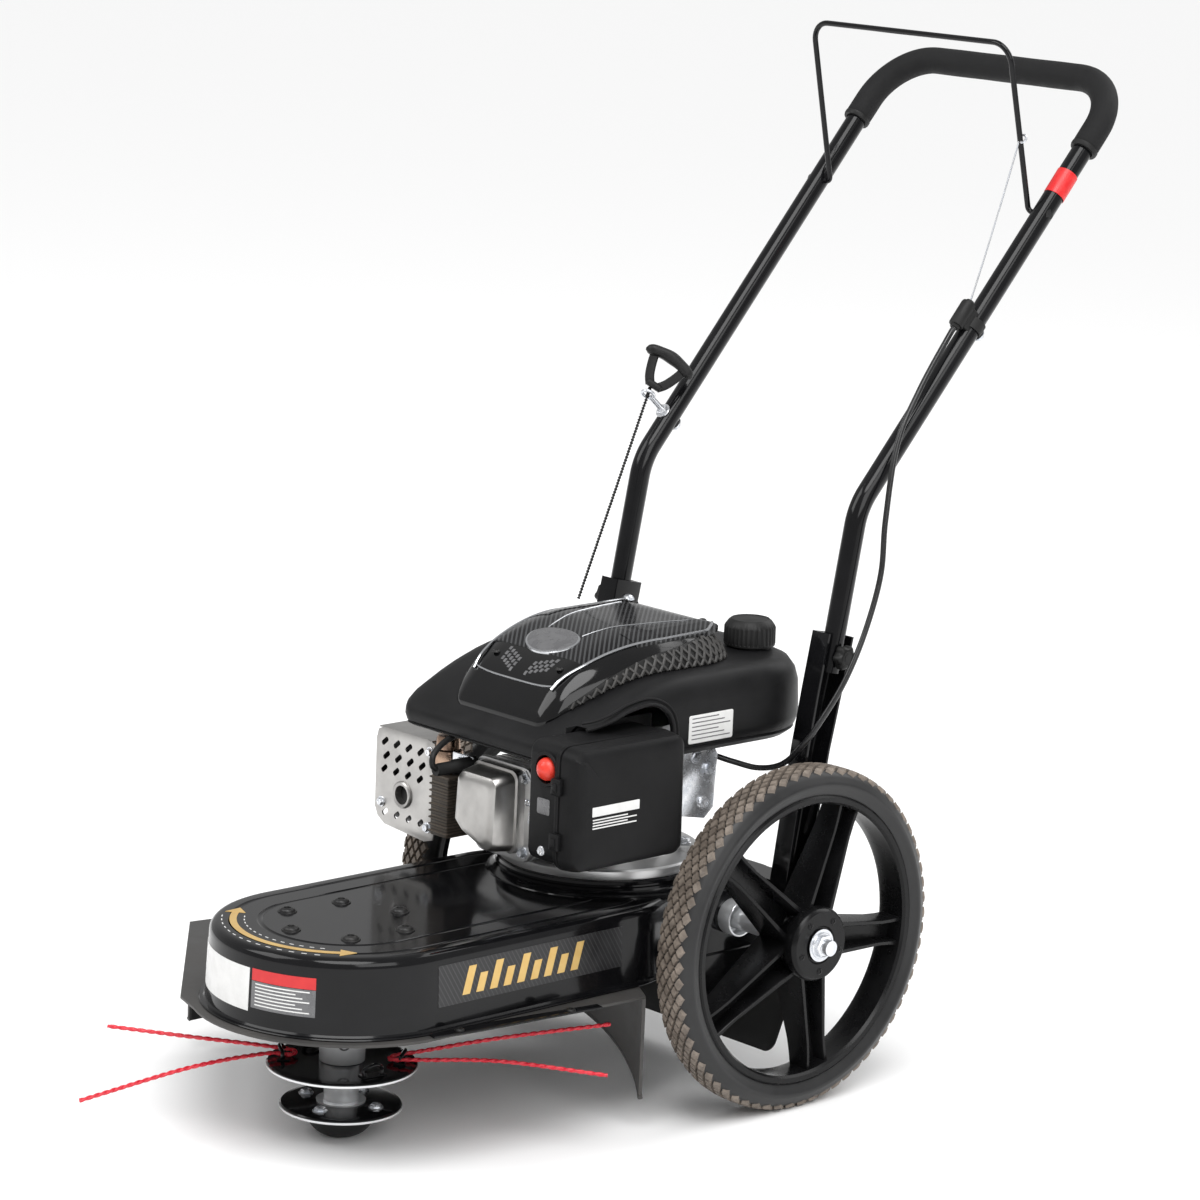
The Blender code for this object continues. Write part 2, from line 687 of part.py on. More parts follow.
def make_trimmer_lines():
    """Two nylon lines, each looped round a hook at the line disc's edge."""
    height = LINE_DISC_Z + DISC_HALF + LINE_RADIUS + 0.0028
    front = [(-0.174, -0.157, 0.094), (-0.115, -0.107, 0.090), (-0.064, -0.052, height + 0.003),
             (-0.040, -0.030, height), (-0.031, -0.041, height), (-0.043, -0.064, height + 0.002),
             (-0.050, -0.150, 0.083), (-0.053, -0.277, 0.074)]
    rear = [(0.134, 0.234, 0.104), (0.085, 0.130, 0.096), (0.043, 0.064, height + 0.003),
            (0.031, 0.041, height), (0.040, 0.030, height), (0.064, 0.052, height + 0.002),
            (0.120, 0.105, 0.086), (0.199, 0.172, 0.080)]
    for name, knots in (("front_trimmer_line", front), ("rear_trimmer_line", rear)):
        cord(name, smooth_route(knots, 26), LINE_RADIUS, red_line())


def belt_outline(offset, steps=14):
    """The belt's plan, offset inward or outward, round the two pulleys."""
    small = ENGINE_PULLEY_RADIUS + offset
    large = SPINDLE_PULLEY_RADIUS + offset
    lean = math.asin((large - small) / ENGINE_Y)
    points = []
    for i in range(steps + 1):
        angle = lean + (math.pi - 2 * lean) * i / steps
        points.append((small * math.cos(angle), ENGINE_Y + small * math.sin(angle)))
    for i in range(steps + 1):
        angle = math.pi - lean + (math.pi + 2 * lean) * i / steps
        points.append((large * math.cos(angle), large * math.sin(angle)))
    return points


def make_belt_drive():
    """The belt, the engine's pulley and the idler on its arm, under the deck's top."""
    middle = (PULLEY_BOTTOM + PULLEY_TOP) / 2
    low, high = middle - BELT_HALF_WIDTH, middle + BELT_HALF_WIDTH
    outer = belt_outline(-0.0002)
    inner = belt_outline(-0.0002 - BELT_THICKNESS)
    narrow = 0.002
    rings = [at_height(outer, low), at_height(outer, high),
             at_height(inner, high - narrow), at_height(inner, low + narrow)]
    add("drive_belt", loft_mesh(rings, closed=True), rubber(), (0, 0, middle))

    crank = empty("crank_axis", (0.0, ENGINE_Y, 0.30))
    bore = CRANK_RADIUS + GAP
    pulley = turned_mesh(pulley_profile(ENGINE_PULLEY_RADIUS, bore), centre=(0, ENGINE_Y, 0))
    add("engine_pulley", pulley, cast_alloy(), crank.location, crank)
    shaft = rod_mesh(CRANK_RADIUS, 0.1500, 0.4050, centre=(0, ENGINE_Y, 0))
    add("crankshaft", shaft, zinc(), crank.location, crank)
    flywheel = [(bore, 0.3700), (0.050, 0.3700), (0.086, 0.3760), (0.086, 0.3860),
                (0.078, 0.3900), (0.050, 0.3980), (bore, 0.3980)]
    wheel = turned_mesh(flywheel, centre=(0, ENGINE_Y, 0))
    add("flywheel", wheel, cast_alloy(), crank.location, crank)

    lean = math.asin((SPINDLE_PULLEY_RADIUS - ENGINE_PULLEY_RADIUS) / ENGINE_Y)
    normal = Vector((math.cos(lean), math.sin(lean), 0.0))
    along = Vector((-math.sin(lean), math.cos(lean), 0.0))
    touch = normal * SPINDLE_PULLEY_RADIUS + along * ENGINE_Y / 2
    centre = touch + normal * (IDLER_RADIUS + 0.0008)
    idler = rod_mesh(IDLER_RADIUS, low - 0.001, high + 0.001, hole=0.0043, centre=centre)
    add("idler_pulley", idler, zinc(), (centre.x, centre.y, middle))
    arm = prism_mesh([(centre.x - 0.012, centre.y - 0.012), (centre.x + 0.012, centre.y - 0.012),
                      (centre.x + 0.012, centre.y + 0.075), (centre.x - 0.012, centre.y + 0.075)],
                     high + 0.0020, high + 0.0050)
    idler_arm = add("idler_arm", arm, steel_black(), centre)
    pin = rod_mesh(0.004, low - 0.001, high + 0.0035, centre=centre, segments=16)
    boolean(idler_arm, cutter("idler_pin", pin), "UNION")
    post = rod_mesh(0.006, high + 0.0035, DECK_TOP - WALL - GAP, segments=16,
                    centre=(centre.x, centre.y + 0.062, 0))
    boolean(idler_arm, cutter("idler_post", post), "UNION")


# Engine -----------------------------------------------------------------------------------
def make_crankcase():
    """The crankcase with its mounting flange, bored for the crankshaft."""
    bore = CRANK_RADIUS + GAP
    base = PEDESTAL_TOP + GAP
    profile = [(bore, base), (0.102, base), (0.102, base + 0.010), (0.079, base + 0.016),
               (0.074, 0.300), (0.068, 0.345), (0.040, 0.352), (bore, 0.352)]
    mesh = turned_mesh(profile, centre=(0, ENGINE_Y, 0), segments=28)
    add("crankcase", mesh, cast_alloy(), (0, ENGINE_Y, base))


def make_cylinder():
    """The finned cylinder and the valve cover, pointing to the front."""
    rings = []
    count = 5
    length = 0.046
    middle = 0.300
    for i in range(count):
        start = CYLINDER_FRONT + length * i / count
        stop = start + length / count * 0.5
        end = start + length / count
        for y, half in ((start, 0.044), (stop, 0.044), (stop, 0.037), (end, 0.037)):
            rings.append([(-half, y, middle - half), (half, y, middle - half),
                          (half, y, middle + half), (-half, y, middle + half)])
    add("cylinder", loft_mesh(rings), cast_alloy(), (0, CYLINDER_FRONT, middle))
    back = CYLINDER_FRONT - GAP
    flange = box_mesh((-0.043, back - 0.005, 0.252), (0.043, back, 0.348), 0.001)
    cover = add("valve_cover", flange, zinc(), (0, back, middle))
    dome = box_mesh((-0.036, 0.1620, 0.258), (0.036, back - 0.001, 0.342), 0.009)
    boolean(cover, cutter("cover_dome", dome), "UNION")


def make_muffler():
    """The muffler body and the pressed shield over its front and outer side."""
    body = box_mesh((-0.192, 0.208, 0.250), (-0.122, 0.248, 0.334), 0.012)
    add("muffler", body, cast_alloy(), (-0.118, 0.255, 0.29))
    outline = [(-0.1180, 0.2000), (-0.2000, 0.2000), (-0.2000, 0.2500), (-0.1985, 0.2500),
               (-0.1985, 0.2015), (-0.1180, 0.2015)]
    shield = prism_mesh(outline, 0.243, 0.343)
    add("muffler_shield", shield, zinc(), (-0.15, 0.204, 0.29))


def make_air_filter():
    """The filter's base with the primer's panel, its cover, the bulb and the carburettor."""
    carburettor = box_mesh((0.0560, 0.205, 0.285), (0.1040, 0.255, 0.338), 0.006)
    add("carburettor", carburettor, cast_alloy(), (0.078, 0.23, 0.31))
    split = 0.1510
    base = box_mesh((0.1060, 0.140, 0.284), (split, 0.284, 0.402), 0.004)
    base_object = add("air_filter_base", base, plastic_black(), (0.106, 0.19, 0.34))
    recess = rod_mesh(0.0125, -0.1500, -0.130, "Y", (PRIMER.x, 0.0, PRIMER.z), 20)
    boolean(base_object, cutter("primer_recess", recess))
    bulb = [(0.0, -0.1440), (0.0095, -0.1440), (0.0095, -0.1370), (0.0075, -0.1315),
            (0.004, -0.1290), (0.0, -0.1285)]
    add("primer_bulb", turned_mesh(bulb, "Y", (PRIMER.x, 0.0, PRIMER.z), 20), red_bulb(), PRIMER)
    cover = box_mesh((split + GAP, 0.1345, 0.282), (0.1800, 0.2845, 0.403), 0.010)
    cover_object = add("air_filter_cover", cover, plastic_black(), (split, 0.2845, 0.34))
    hollow = box_mesh((0.1400, 0.1375, 0.285), (0.1770, 0.2815, 0.400), 0.006)
    boolean(cover_object, cutter("filter_hollow", hollow))


def hood_drop(y):
    """How far the engine's hood falls below its level towards the front."""
    return 0.055 * (max(0.330 - y, 0.0) / 0.155) ** 2


def shroud_ring(half, front, rear, z, share, grow=0.0):
    """One plan ring of the hood at a height, lowered at the front by a share of its drop."""
    rear_round = min(0.075, 0.8 * half, 0.6 * (rear - front))
    outline = rounded_box_outline(half + grow, front - grow, rear + grow, 0.020, rear_round)
    return [(x, y, z - share * hood_drop(y)) for x, y in outline]


def shell_mesh(sections, thickness, ring):
    """A shell open underneath: an outer loft over an inner one, joined at the lower rim."""
    outer = [ring(*section) for section in sections]
    inner = []
    for k, (half, front, rear, z, share) in enumerate(sections):
        drop = thickness if k > 1 else 0.0
        inner.append(ring(half, front, rear, z - drop, share, -thickness))
    bm = bmesh.new()
    out_loops = [[bm.verts.new(p) for p in r] for r in outer]
    in_loops = [[bm.verts.new(p) for p in r] for r in inner]
    for loops in (out_loops, in_loops):
        for one, two in zip(loops, loops[1:]):
            for i in range(len(one)):
                j = (i + 1) % len(one)
                bm.faces.new((one[i], one[j], two[j], two[i]))
        bm.faces.new(loops[-1])
    for i in range(len(out_loops[0])):
        j = (i + 1) % len(out_loops[0])
        bm.faces.new((out_loops[0][i], out_loops[0][j], in_loops[0][j], in_loops[0][i]))
    return finish_mesh(bm, "shell")


def make_shroud():
    """The blower housing, the glossy top cover, the tank inside and its cap."""
    sections = [(0.130, 0.176, 0.512, 0.3680, 0.0), (0.1360, 0.172, 0.522, 0.3800, 0.10),
                (0.1355, 0.174, 0.520, 0.4200, 0.60), (0.128, 0.184, 0.512, 0.4420, 0.94),
                (0.114, 0.205, 0.492, 0.4480, 1.0), (0.090, 0.250, 0.465, 0.4485, 1.0),
                (0.076, 0.300, 0.440, 0.4490, 1.0)]
    housing = add("blower_housing", shell_mesh(sections, 0.003, shroud_ring),
                  plastic_black(), (0, ENGINE_Y, 0.36))
    neck_hole = rod_mesh(0.0185, 0.42, 0.46, centre=(0.064, 0.4740, 0))
    boolean(housing, cutter("neck_hole", neck_hole))
    filter_room = box_mesh((0.0975, 0.10, 0.30), (0.20, 0.2875, 0.4050))
    boolean(housing, cutter("filter_room", filter_room))
    cover_sections = [(0.104, 0.188, 0.444, 0.4505, 1.0), (0.099, 0.194, 0.441, 0.4600, 1.0),
                      (0.084, 0.214, 0.432, 0.4730, 1.0), (0.062, 0.262, 0.414, 0.4800, 1.0),
                      (0.045, 0.310, 0.395, 0.4820, 1.0)]
    cover = shell_mesh(cover_sections, 0.003, shroud_ring)
    add("top_cover", cover, gloss_plastic(), (0, ENGINE_Y, 0.4505))
    tank = box_mesh((-0.092, 0.4270, 0.3720), (0.092, 0.4940, 0.4380), 0.016)
    tank_object = add("fuel_tank", tank, plastic_black(), (0, 0.47, 0.37))
    neck = rod_mesh(0.0165, 0.4200, 0.4600, centre=(0.064, 0.4740, 0))
    boolean(tank_object, cutter("tank_neck", neck), "UNION")
    cap = [(0.0, 0.4630), (0.0172, 0.4630), (0.0172, 0.4500), (0.0265, 0.4500), (0.0268, 0.4700),
           (0.0235, 0.4780), (0.0, 0.4780)]
    cap_mesh = turned_mesh(cap, centre=(0.064, 0.4740, 0))
    add("fuel_cap", cap_mesh, plastic_black(), (0.064, 0.4740, 0.4500))


# Handle -----------------------------------------------------------------------------------
def handle_route():
    """The handle's centre line: up one leg, across the top and down the other."""
    low = PIVOT - LOWER_LEG * 0.018
    corners = []
    for side in (1.0, -1.0):
        leg = [(side * PIVOT_HALF, low.y, low.z), (side * BEND_HALF, BEND.y, BEND.z),
               (side * TOP_HALF, TOP.y, TOP.z)]
        corners += leg if side > 0 else leg[::-1]
    return filleted(corners, (0.070, 0.062, 0.062, 0.070))


def foam_route():
    """The part of the handle's centre line that the foam covers."""
    down = HANDLE_LEG * FOAM_LEG
    slope = (TOP_HALF - BEND_HALF) / (TOP - BEND).length * FOAM_LEG
    corners = []
    for side in (1.0, -1.0):
        end = (side * (TOP_HALF - slope), TOP.y - down.y, TOP.z - down.z)
        top = (side * TOP_HALF, TOP.y, TOP.z)
        corners += [end, top] if side > 0 else [top, end]
    return filleted(corners, (0.062, 0.062))


def make_handle():
    """The bent steel tube, the foam over its top, the bail and the fittings on its legs."""
    axis = empty("handle_axis", PIVOT)
    tube = add("handle_tube", pipe_mesh(handle_route(), TUBE_RADIUS), steel_black(), PIVOT, axis)
    add_wall(tube, TUBE_WALL)
    for name, centre, radius in (("bail_holes", BAIL_PIVOT, BAIL_RADIUS + GAP),
                                 ("pivot_holes", PIVOT, 0.004 + GAP)):
        mesh = rod_mesh(radius, -0.19, 0.19, "X", (0, centre.y, centre.z), 16)
        boolean(tube, cutter(name, mesh))
    grip = add("grip_foam", pipe_mesh(foam_route(), FOAM_RADIUS), foam(), TOP, axis)
    flat_radius = FOAM_RADIUS * math.cos(math.pi / 12)
    add_wall(grip, flat_radius - TUBE_RADIUS - GAP)

    end = 0.171
    corners = []
    for side in (1.0, -1.0):
        leg = [(side * end, BAIL_PIVOT.y, BAIL_PIVOT.z), (side * BAIL_HALF, BAIL_PIVOT.y, BAIL_PIVOT.z),
               (side * (BAIL_HALF - 0.003), BAIL_TOP.y, BAIL_TOP.z)]
        corners += leg if side > 0 else leg[::-1]
    route = filleted(corners, (0.006, 0.022, 0.022, 0.006), 4)
    mesh = pipe_mesh(route, BAIL_RADIUS, 2, True)
    add("bail", mesh, steel_black(), BAIL_PIVOT, axis)


def make_fittings():
    """The cable's clip on the left leg and the rope's guide on the right leg."""
    clip_at = BEND + HANDLE_LEG * 0.232
    side = 0.1622
    clip = rod_mesh(0.0075, -0.016, 0.016, segments=16)
    clip.transform(tilt_along(HANDLE_LEG, clip_centre()))
    clip_object = add("cable_clip", clip, plastic_black(), clip_centre())
    neck = box_mesh((-0.0045, -0.005, -0.009), (0.0045, 0.005, 0.009))
    offset = LEG_FRONT * (TUBE_RADIUS + 0.0055)
    neck.transform(tilt_along(HANDLE_LEG, Vector((side, clip_at.y, clip_at.z)) + offset))
    boolean(clip_object, cutter("clip_neck", neck), "UNION")

    guide_at = Vector((-0.1610, 0.0, 0.0)) + BEND + HANDLE_LEG * 0.055
    arm_middle = guide_at + LEG_FRONT * (TUBE_RADIUS + 0.0135)
    arm = box_mesh((-0.0040, -0.0130, -0.004), (0.0040, 0.0130, 0.004))
    arm.transform(tilt_along(HANDLE_LEG, arm_middle))
    guide = add("rope_guide", arm, zinc(), guide_at)
    eye = rod_mesh(0.0085, -0.0025, 0.0025, segments=20, hole=0.0045)
    eye.transform(tilt_along(ROPE_EXIT, EYE))
    boolean(guide, cutter("guide_eye", eye), "UNION")


def clip_centre():
    """Centre of the cable's clip, in front of the left leg."""
    at = BEND + HANDLE_LEG * 0.232
    return Vector((0.1622, at.y, at.z)) + LEG_FRONT * (TUBE_RADIUS + 0.0095)


def tilt_along(direction, place):
    """Return the transform that stands +Z along a direction, about X only, at a place."""
    turn = Vector((0.0, 0.0, 1.0)).rotation_difference(direction).to_matrix().to_4x4()
    return Matrix.Translation(place) @ turn


EYE = Vector((-0.1610, 0.0, 0.0)) + BEND + HANDLE_LEG * 0.055 + LEG_FRONT * (TUBE_RADIUS + 0.0310)
ROPE_EXIT = PULL_AXIS
ROPE_OUTLET = Vector((-0.0990, 0.3830, 0.4790))


def make_starter():
    """The rope from the engine to the guide's eye, its short end and the pull grip."""
    up = (EYE - ROPE_OUTLET).normalized()
    start = ROPE_OUTLET + up * 0.012
    stop = EYE - PULL_AXIS * 0.004
    knots = [start, start.lerp(stop, 0.33), start.lerp(stop, 0.66), stop - up * 0.004, stop]
    cord("starter_rope", smooth_route(knots, 20), ROPE_RADIUS, rope_black())
    stub_low = EYE - PULL_AXIS * 0.0035
    stub_high = EYE + PULL_AXIS * 0.0075
    stub = rod_mesh(ROPE_RADIUS, 0.0, (stub_high - stub_low).length, segments=12)
    stub.transform(tilt_along(PULL_AXIS, stub_low))
    add("rope_end", stub, rope_black(), stub_low)
    grip_at = EYE + PULL_AXIS * 0.008
    stem = turned_mesh([(0.0, 0.0), (0.006, 0.0), (0.008, 0.004), (0.008, 0.024), (0.0, 0.024)],
                       segments=16)
    stem.transform(tilt_along(PULL_AXIS, grip_at))
    grip = add("starter_grip", stem, plastic_black(), grip_at)
    bar = box_mesh((-0.010, -0.034, -0.008), (0.010, 0.034, 0.008), 0.006)
    bar.transform(tilt_along(PULL_AXIS, grip_at + PULL_AXIS * 0.030))
    boolean(grip, cutter("grip_bar", bar), "UNION")


def make_cables():
    """The control cable from its clip to the engine, and the wire up to the bail."""
    foot = clip_centre() - HANDLE_LEG * 0.0170
    route = [foot, foot - HANDLE_LEG * 0.012, (0.1720, 0.5930, 0.7210), (0.1800, 0.5560, 0.6700),
             (0.1880, 0.5360, 0.5950), (0.1930, 0.5280, 0.5400), (0.1950, 0.5080, 0.4850),
             (0.1950, 0.4830, 0.4380), (0.1870, 0.4620, 0.4000), (0.1750, 0.4480, 0.3710),
             (0.1540, 0.4400, 0.3470), (0.1300, 0.4300, 0.3390), (0.1080, 0.4150, 0.3430),
             (0.0880, 0.3900, 0.3520), (0.0760, 0.3600, 0.3540)]
    cord("control_cable", smooth_route(route, 40), CABLE_RADIUS, rope_black())
    top = BAIL_PIVOT.lerp(BAIL_TOP, 0.44) + Vector((BAIL_HALF + 0.0050, 0.0, 0.0))
    start = clip_centre() + HANDLE_LEG * 0.0165
    cord("bail_wire", smooth_route([start, start.lerp(top, 0.5), top], 16), 0.0009, zinc())


def main():
    """Build the whole machine."""
    clear_scene()
    make_deck()
    make_guard()
    make_rear_flap()
    make_crossmember()
    make_axle()
    for name, side in (("left", 1.0), ("right", -1.0)):
        make_wheel(name, side)
        make_upright(name + "_upright", side)
        make_pivot_hardware(name, side)
    make_spindle()
    make_spindle_housing()
    make_trimmer_lines()
    make_belt_drive()
    make_crankcase()
    make_cylinder()
    make_muffler()
    make_air_filter()
    make_shroud()
    make_handle()
    make_fittings()
    make_starter()
    make_cables()


main()
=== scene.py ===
"""Looks for a walk-behind string-trimmer mower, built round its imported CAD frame.

Each sub-assembly is a class: its fields are sizes in metres, and its methods work out surfaces
as whole numpy arrays and dress them in procedural finishes. -Y is the front, +X the air
filter's side, and the trimmer spindle stands on the origin.
"""

import logging
from dataclasses import dataclass
from enum import Enum
from math import acos, cos, pi, radians, sin

import bmesh
import bpy
import numpy as np
from numpy import arange, array, asarray, interp, linspace, maximum, ndarray, stack, vstack
from bpy.types import Material, Mesh, Node, NodeSocket, NodeTree, Object
from mathutils import Matrix, Vector


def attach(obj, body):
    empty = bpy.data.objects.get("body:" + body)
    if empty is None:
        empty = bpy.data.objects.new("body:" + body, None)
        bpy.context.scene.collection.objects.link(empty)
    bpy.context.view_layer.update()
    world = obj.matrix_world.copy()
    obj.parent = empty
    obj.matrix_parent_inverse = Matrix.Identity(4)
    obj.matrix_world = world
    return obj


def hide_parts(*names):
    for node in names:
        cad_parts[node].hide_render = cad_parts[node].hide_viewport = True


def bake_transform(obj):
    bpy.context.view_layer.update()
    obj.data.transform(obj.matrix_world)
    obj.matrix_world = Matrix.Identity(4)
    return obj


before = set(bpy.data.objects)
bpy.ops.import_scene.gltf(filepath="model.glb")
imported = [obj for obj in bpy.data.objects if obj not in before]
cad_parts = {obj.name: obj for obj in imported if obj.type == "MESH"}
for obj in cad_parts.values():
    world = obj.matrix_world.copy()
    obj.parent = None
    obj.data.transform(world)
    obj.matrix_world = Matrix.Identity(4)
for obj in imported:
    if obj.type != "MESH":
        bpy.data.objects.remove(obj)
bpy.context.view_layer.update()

TAU = 2 * pi
SHARP = radians(32)
log = logging.getLogger("mower")


def spaced(count: int) -> ndarray:
    """Even steps from 0 to 1."""
    return linspace(0, 1, count)


def unit(way: ndarray) -> ndarray:
    """The same direction with a length of one."""
    return way / np.linalg.norm(way)


def travelled(path: ndarray) -> ndarray:
    """The length of a path up to each of its points: a running sum of its steps."""
    return np.concatenate([[0], np.cumsum(np.linalg.norm(np.diff(path, axis=0), axis=1))])


AXLE = (0, 0.425, 0.178)
SIDES = (("left", 1), ("right", -1))
ENGINE_Y = 0.335
PIVOT = array([0, 0.496, 0.455])
BEND = array([0, 0.5243, 0.6045])
TOP = array([0, 0.8895, 1.0226])
BAIL_PIVOT = array([0, 0.7732, 0.8909])
BAIL_TOP = array([0, 0.7316, 1.0653])
LEG = unit(TOP - BEND)
LOWER_LEG = unit(BEND - PIVOT)
LEG_FRONT = array([0, -LEG[2], LEG[1]])
PULL = unit(array([-0.3, 0.6, 0.742]))


class Axis(Enum):
    """The world axis that a profile's or an outline's height runs along."""

    X = (1, 2, 0)
    Y = (0, 2, 1)
    Z = (0, 1, 2)


# Surfaces
def xyz(*parts: ndarray) -> ndarray:
    """Coordinate arrays of one shape made one array of points."""
    return stack(parts, -1)


@dataclass
class Surface:
    """Points and faces worked out with numpy, kept until they become a mesh."""

    points: ndarray
    faces: list

    def moved(self, offset: tuple) -> "Surface":
        """Return the surface shifted by an offset."""
        return Surface(self.points + asarray(offset, float), self.faces)

    def turned(self, matrix: ndarray) -> "Surface":
        """Return the surface turned by a 3 by 3 matrix about the origin."""
        return Surface(self.points @ asarray(matrix, float).T, self.faces)

    def aimed(self, direction: tuple, at: tuple) -> "Surface":
        """Return the surface with +Z turned to a direction and the origin moved to a point."""
        return self.turned(facing(direction)).moved(at)

    def sided(self, side: float) -> "Surface":
        """Return the surface with X multiplied by side, which is 1 or -1."""
        return Surface(self.points * (side, 1, 1), self.faces)

    def __add__(self, other: "Surface") -> "Surface":
        """Return both surfaces as one."""
        shift = len(self.points)
        moved = [[i + shift for i in face] for face in other.faces]
        return Surface(vstack([self.points, other.points]), self.faces + moved)


def joined(parts: list) -> Surface:
    """Return several surfaces as one.

    Args:
        parts: the surfaces, at least one.

    Returns:
        One surface that holds them all.
    """
    counts = np.cumsum([0] + [len(p.points) for p in parts])
    faces = [[i + int(c) for i in f] for p, c in zip(parts, counts) for f in p.faces]
    return Surface(vstack([p.points for p in parts]), faces)


def grid(points: ndarray, ring: bool = True, loop: bool = False, caps: bool = True) -> Surface:
    """Turn a rows by columns array of points into quads.

    Args:
        points: array of shape (rows, columns, 3).
        ring: whether each row closes on itself.
        loop: whether the last row joins the first.
        caps: whether the first and the last ring get a face.

    Returns:
        The surface.
    """
    rows, cols = points.shape[:2]
    i = arange(rows if loop else rows - 1)[:, None]
    j = arange(cols if ring else cols - 1)[None, :]
    up, side = (i + 1) % rows, (j + 1) % cols
    quads = xyz(i * cols + j, i * cols + side, up * cols + side, up * cols + j)
    faces = quads.reshape(-1, 4).tolist()
    if caps and ring and not loop:
        faces.append(list(range(cols))[::-1])
        faces.append(list(range((rows - 1) * cols, rows * cols)))
    return Surface(points.reshape(-1, 3), faces)


def layered(outer: ndarray, inner: ndarray) -> Surface:
    """A thin closed sheet: each outer row, then the same inner row on the way back."""
    return grid(np.concatenate([outer, inner[:, ::-1]], 1))


def placed(across: ndarray, along: ndarray, height: ndarray, axis: Axis) -> ndarray:
    """Stack local coordinates into world ones so that height runs along an axis."""
    local = stack(np.broadcast_arrays(across, along, height), -1)
    out = np.empty_like(local)
    out[..., list(axis.value)] = local
    return out


def revolve(profile: list, axis: Axis = Axis.Z, centre: tuple = (0.0, 0.0, 0.0), segments: int = 64,
        loop: bool = False) -> Surface:
    """Carry a profile round an axis: across = r cos t, along = r sin t, at the profile's height.

    Args:
        profile: (radius, height) pairs; a radius of 0 at an end closes the surface there.
        axis: the axis that heights run along.
        centre: a point that the axis passes through.
        segments: steps in the full turn.
        loop: whether the profile closes on itself, as a ring's does.

    Returns:
        The turned surface.
    """
    shape = asarray(profile, float)
    t = TAU * arange(segments)[None, :] / segments
    radius, height = shape[:, :1], shape[:, 1:2]
    points = placed(radius * np.cos(t), radius * np.sin(t), height + 0 * t, axis)
    return grid(points + asarray(centre, float), loop=loop, caps=not loop)


def rounded(half_a: float, half_b: float, radius: float, steps: int = 6) -> ndarray:
    """Outline of a rectangle with round corners: four quarter circles, counter-clockwise."""
    quarter = linspace(0, pi / 2, steps + 1)
    turn = (arange(4)[:, None] * pi / 2 + quarter[None, :]).ravel()
    sign_a = np.repeat([1, -1, -1, 1], steps + 1)
    sign_b = np.repeat([1, 1, -1, -1], steps + 1)
    return xyz(sign_a * (half_a - radius) + radius * np.cos(turn),
        sign_b * (half_b - radius) + radius * np.sin(turn))


def inset(outline: ndarray, distance: float) -> ndarray:
    """Move each point of a counter-clockwise outline inward along the mean of its two normals."""
    before = outline - np.roll(outline, 1, 0)
    after = np.roll(outline, -1, 0) - outline
    before = before / maximum(np.linalg.norm(before, axis=1, keepdims=True), 1e-9)
    after = after / maximum(np.linalg.norm(after, axis=1, keepdims=True), 1e-9)
    mean = before + after
    length = maximum(np.linalg.norm(mean, axis=1, keepdims=True), 1e-6)
    mean = mean / length
    normal = xyz(-mean[:, 1], mean[:, 0])
    return outline + normal * distance / maximum(length / 2, 0.4)


def plate(outline: ndarray, low: float, high: float, axis: Axis = Axis.Z, bevel: float = 0.0006,
        steps: int = 2) -> Surface:
    """Raise an outline from low to high, its two rims rounded by quarter circles.

    Args:
        outline: counter-clockwise (a, b) points.
        low: height of the lower face.
        high: height of the upper face.
        axis: the axis that height runs along.
        bevel: radius of the rounded rims.
        steps: rings in each quarter circle.

    Returns:
        The closed plate.
    """
    t = linspace(0, pi / 2, steps + 1)
    depth = bevel * (1 - np.sin(t))
    lift = bevel * (1 - np.cos(t))
    heights = np.concatenate([low + lift, (high - lift)[::-1]])
    insets = np.concatenate([depth, depth[::-1]])
    rings = stack([inset(asarray(outline, float), d) for d in insets])
    points = placed(rings[..., 0], rings[..., 1], heights[:, None], axis)
    return grid(points)


def box(low: tuple, high: tuple, radius: float = 0.002, axis: Axis = Axis.Z, steps: int = 4,
        corner: float = 0.0) -> Surface:
    """A block with every edge rounded: a rounded rectangle raised along an axis.

    Args:
        low: lowest corner.
        high: highest corner.
        radius: radius of the rims.
        axis: the axis that it is raised along.
        steps: points in each quarter circle.
        corner: radius of the four edges along the axis; 0 takes radius.

    Returns:
        The closed block.
    """
    lowest, highest = asarray(low, float), asarray(high, float)
    a, b, h = axis.value
    half = (highest - lowest) / 2
    middle = (highest + lowest) / 2
    outline = rounded(half[a], half[b], max(corner, radius) * 0.999, steps)
    outline = outline + (middle[a], middle[b])
    return plate(outline, lowest[h], highest[h], axis, radius * 0.998, steps)


def frames(path: ndarray, up: tuple) -> tuple:
    """Tangents, sides and normals along a path, kept level with a fixed direction."""
    tangent = np.gradient(path, axis=0)
    tangent /= np.linalg.norm(tangent, axis=1, keepdims=True)
    side = np.cross(tangent, asarray(up, float))
    side /= maximum(np.linalg.norm(side, axis=1, keepdims=True), 1e-9)
    return tangent, side, np.cross(side, tangent)


def sweep(path: ndarray, outline: ndarray, up: tuple = (1.0, 0.0, 0.0),
        scale: float | ndarray = 1.0, twist: float = 0.0) -> Surface:
    """Carry an outline along a path: point = path + a side + b normal, turned by twist.

    Args:
        path: (n, 3) centre line.
        outline: (m, 2) closed section.
        up: a direction that the path is never along.
        scale: size of the section, one number or one for each point.
        twist: turn of the section in radians per metre.

    Returns:
        The closed, capped surface.
    """
    _, side, normal = frames(path, up)
    run = travelled(path)
    turn = (twist * run)[:, None]
    size = np.broadcast_to(asarray(scale, float), (len(path),))[:, None]
    a = size * (outline[None, :, 0] * np.cos(turn) - outline[None, :, 1] * np.sin(turn))
    b = size * (outline[None, :, 0] * np.sin(turn) + outline[None, :, 1] * np.cos(turn))
    points = path[:, None] + a[..., None] * side[:, None] + b[..., None] * normal[:, None]
    return grid(points)


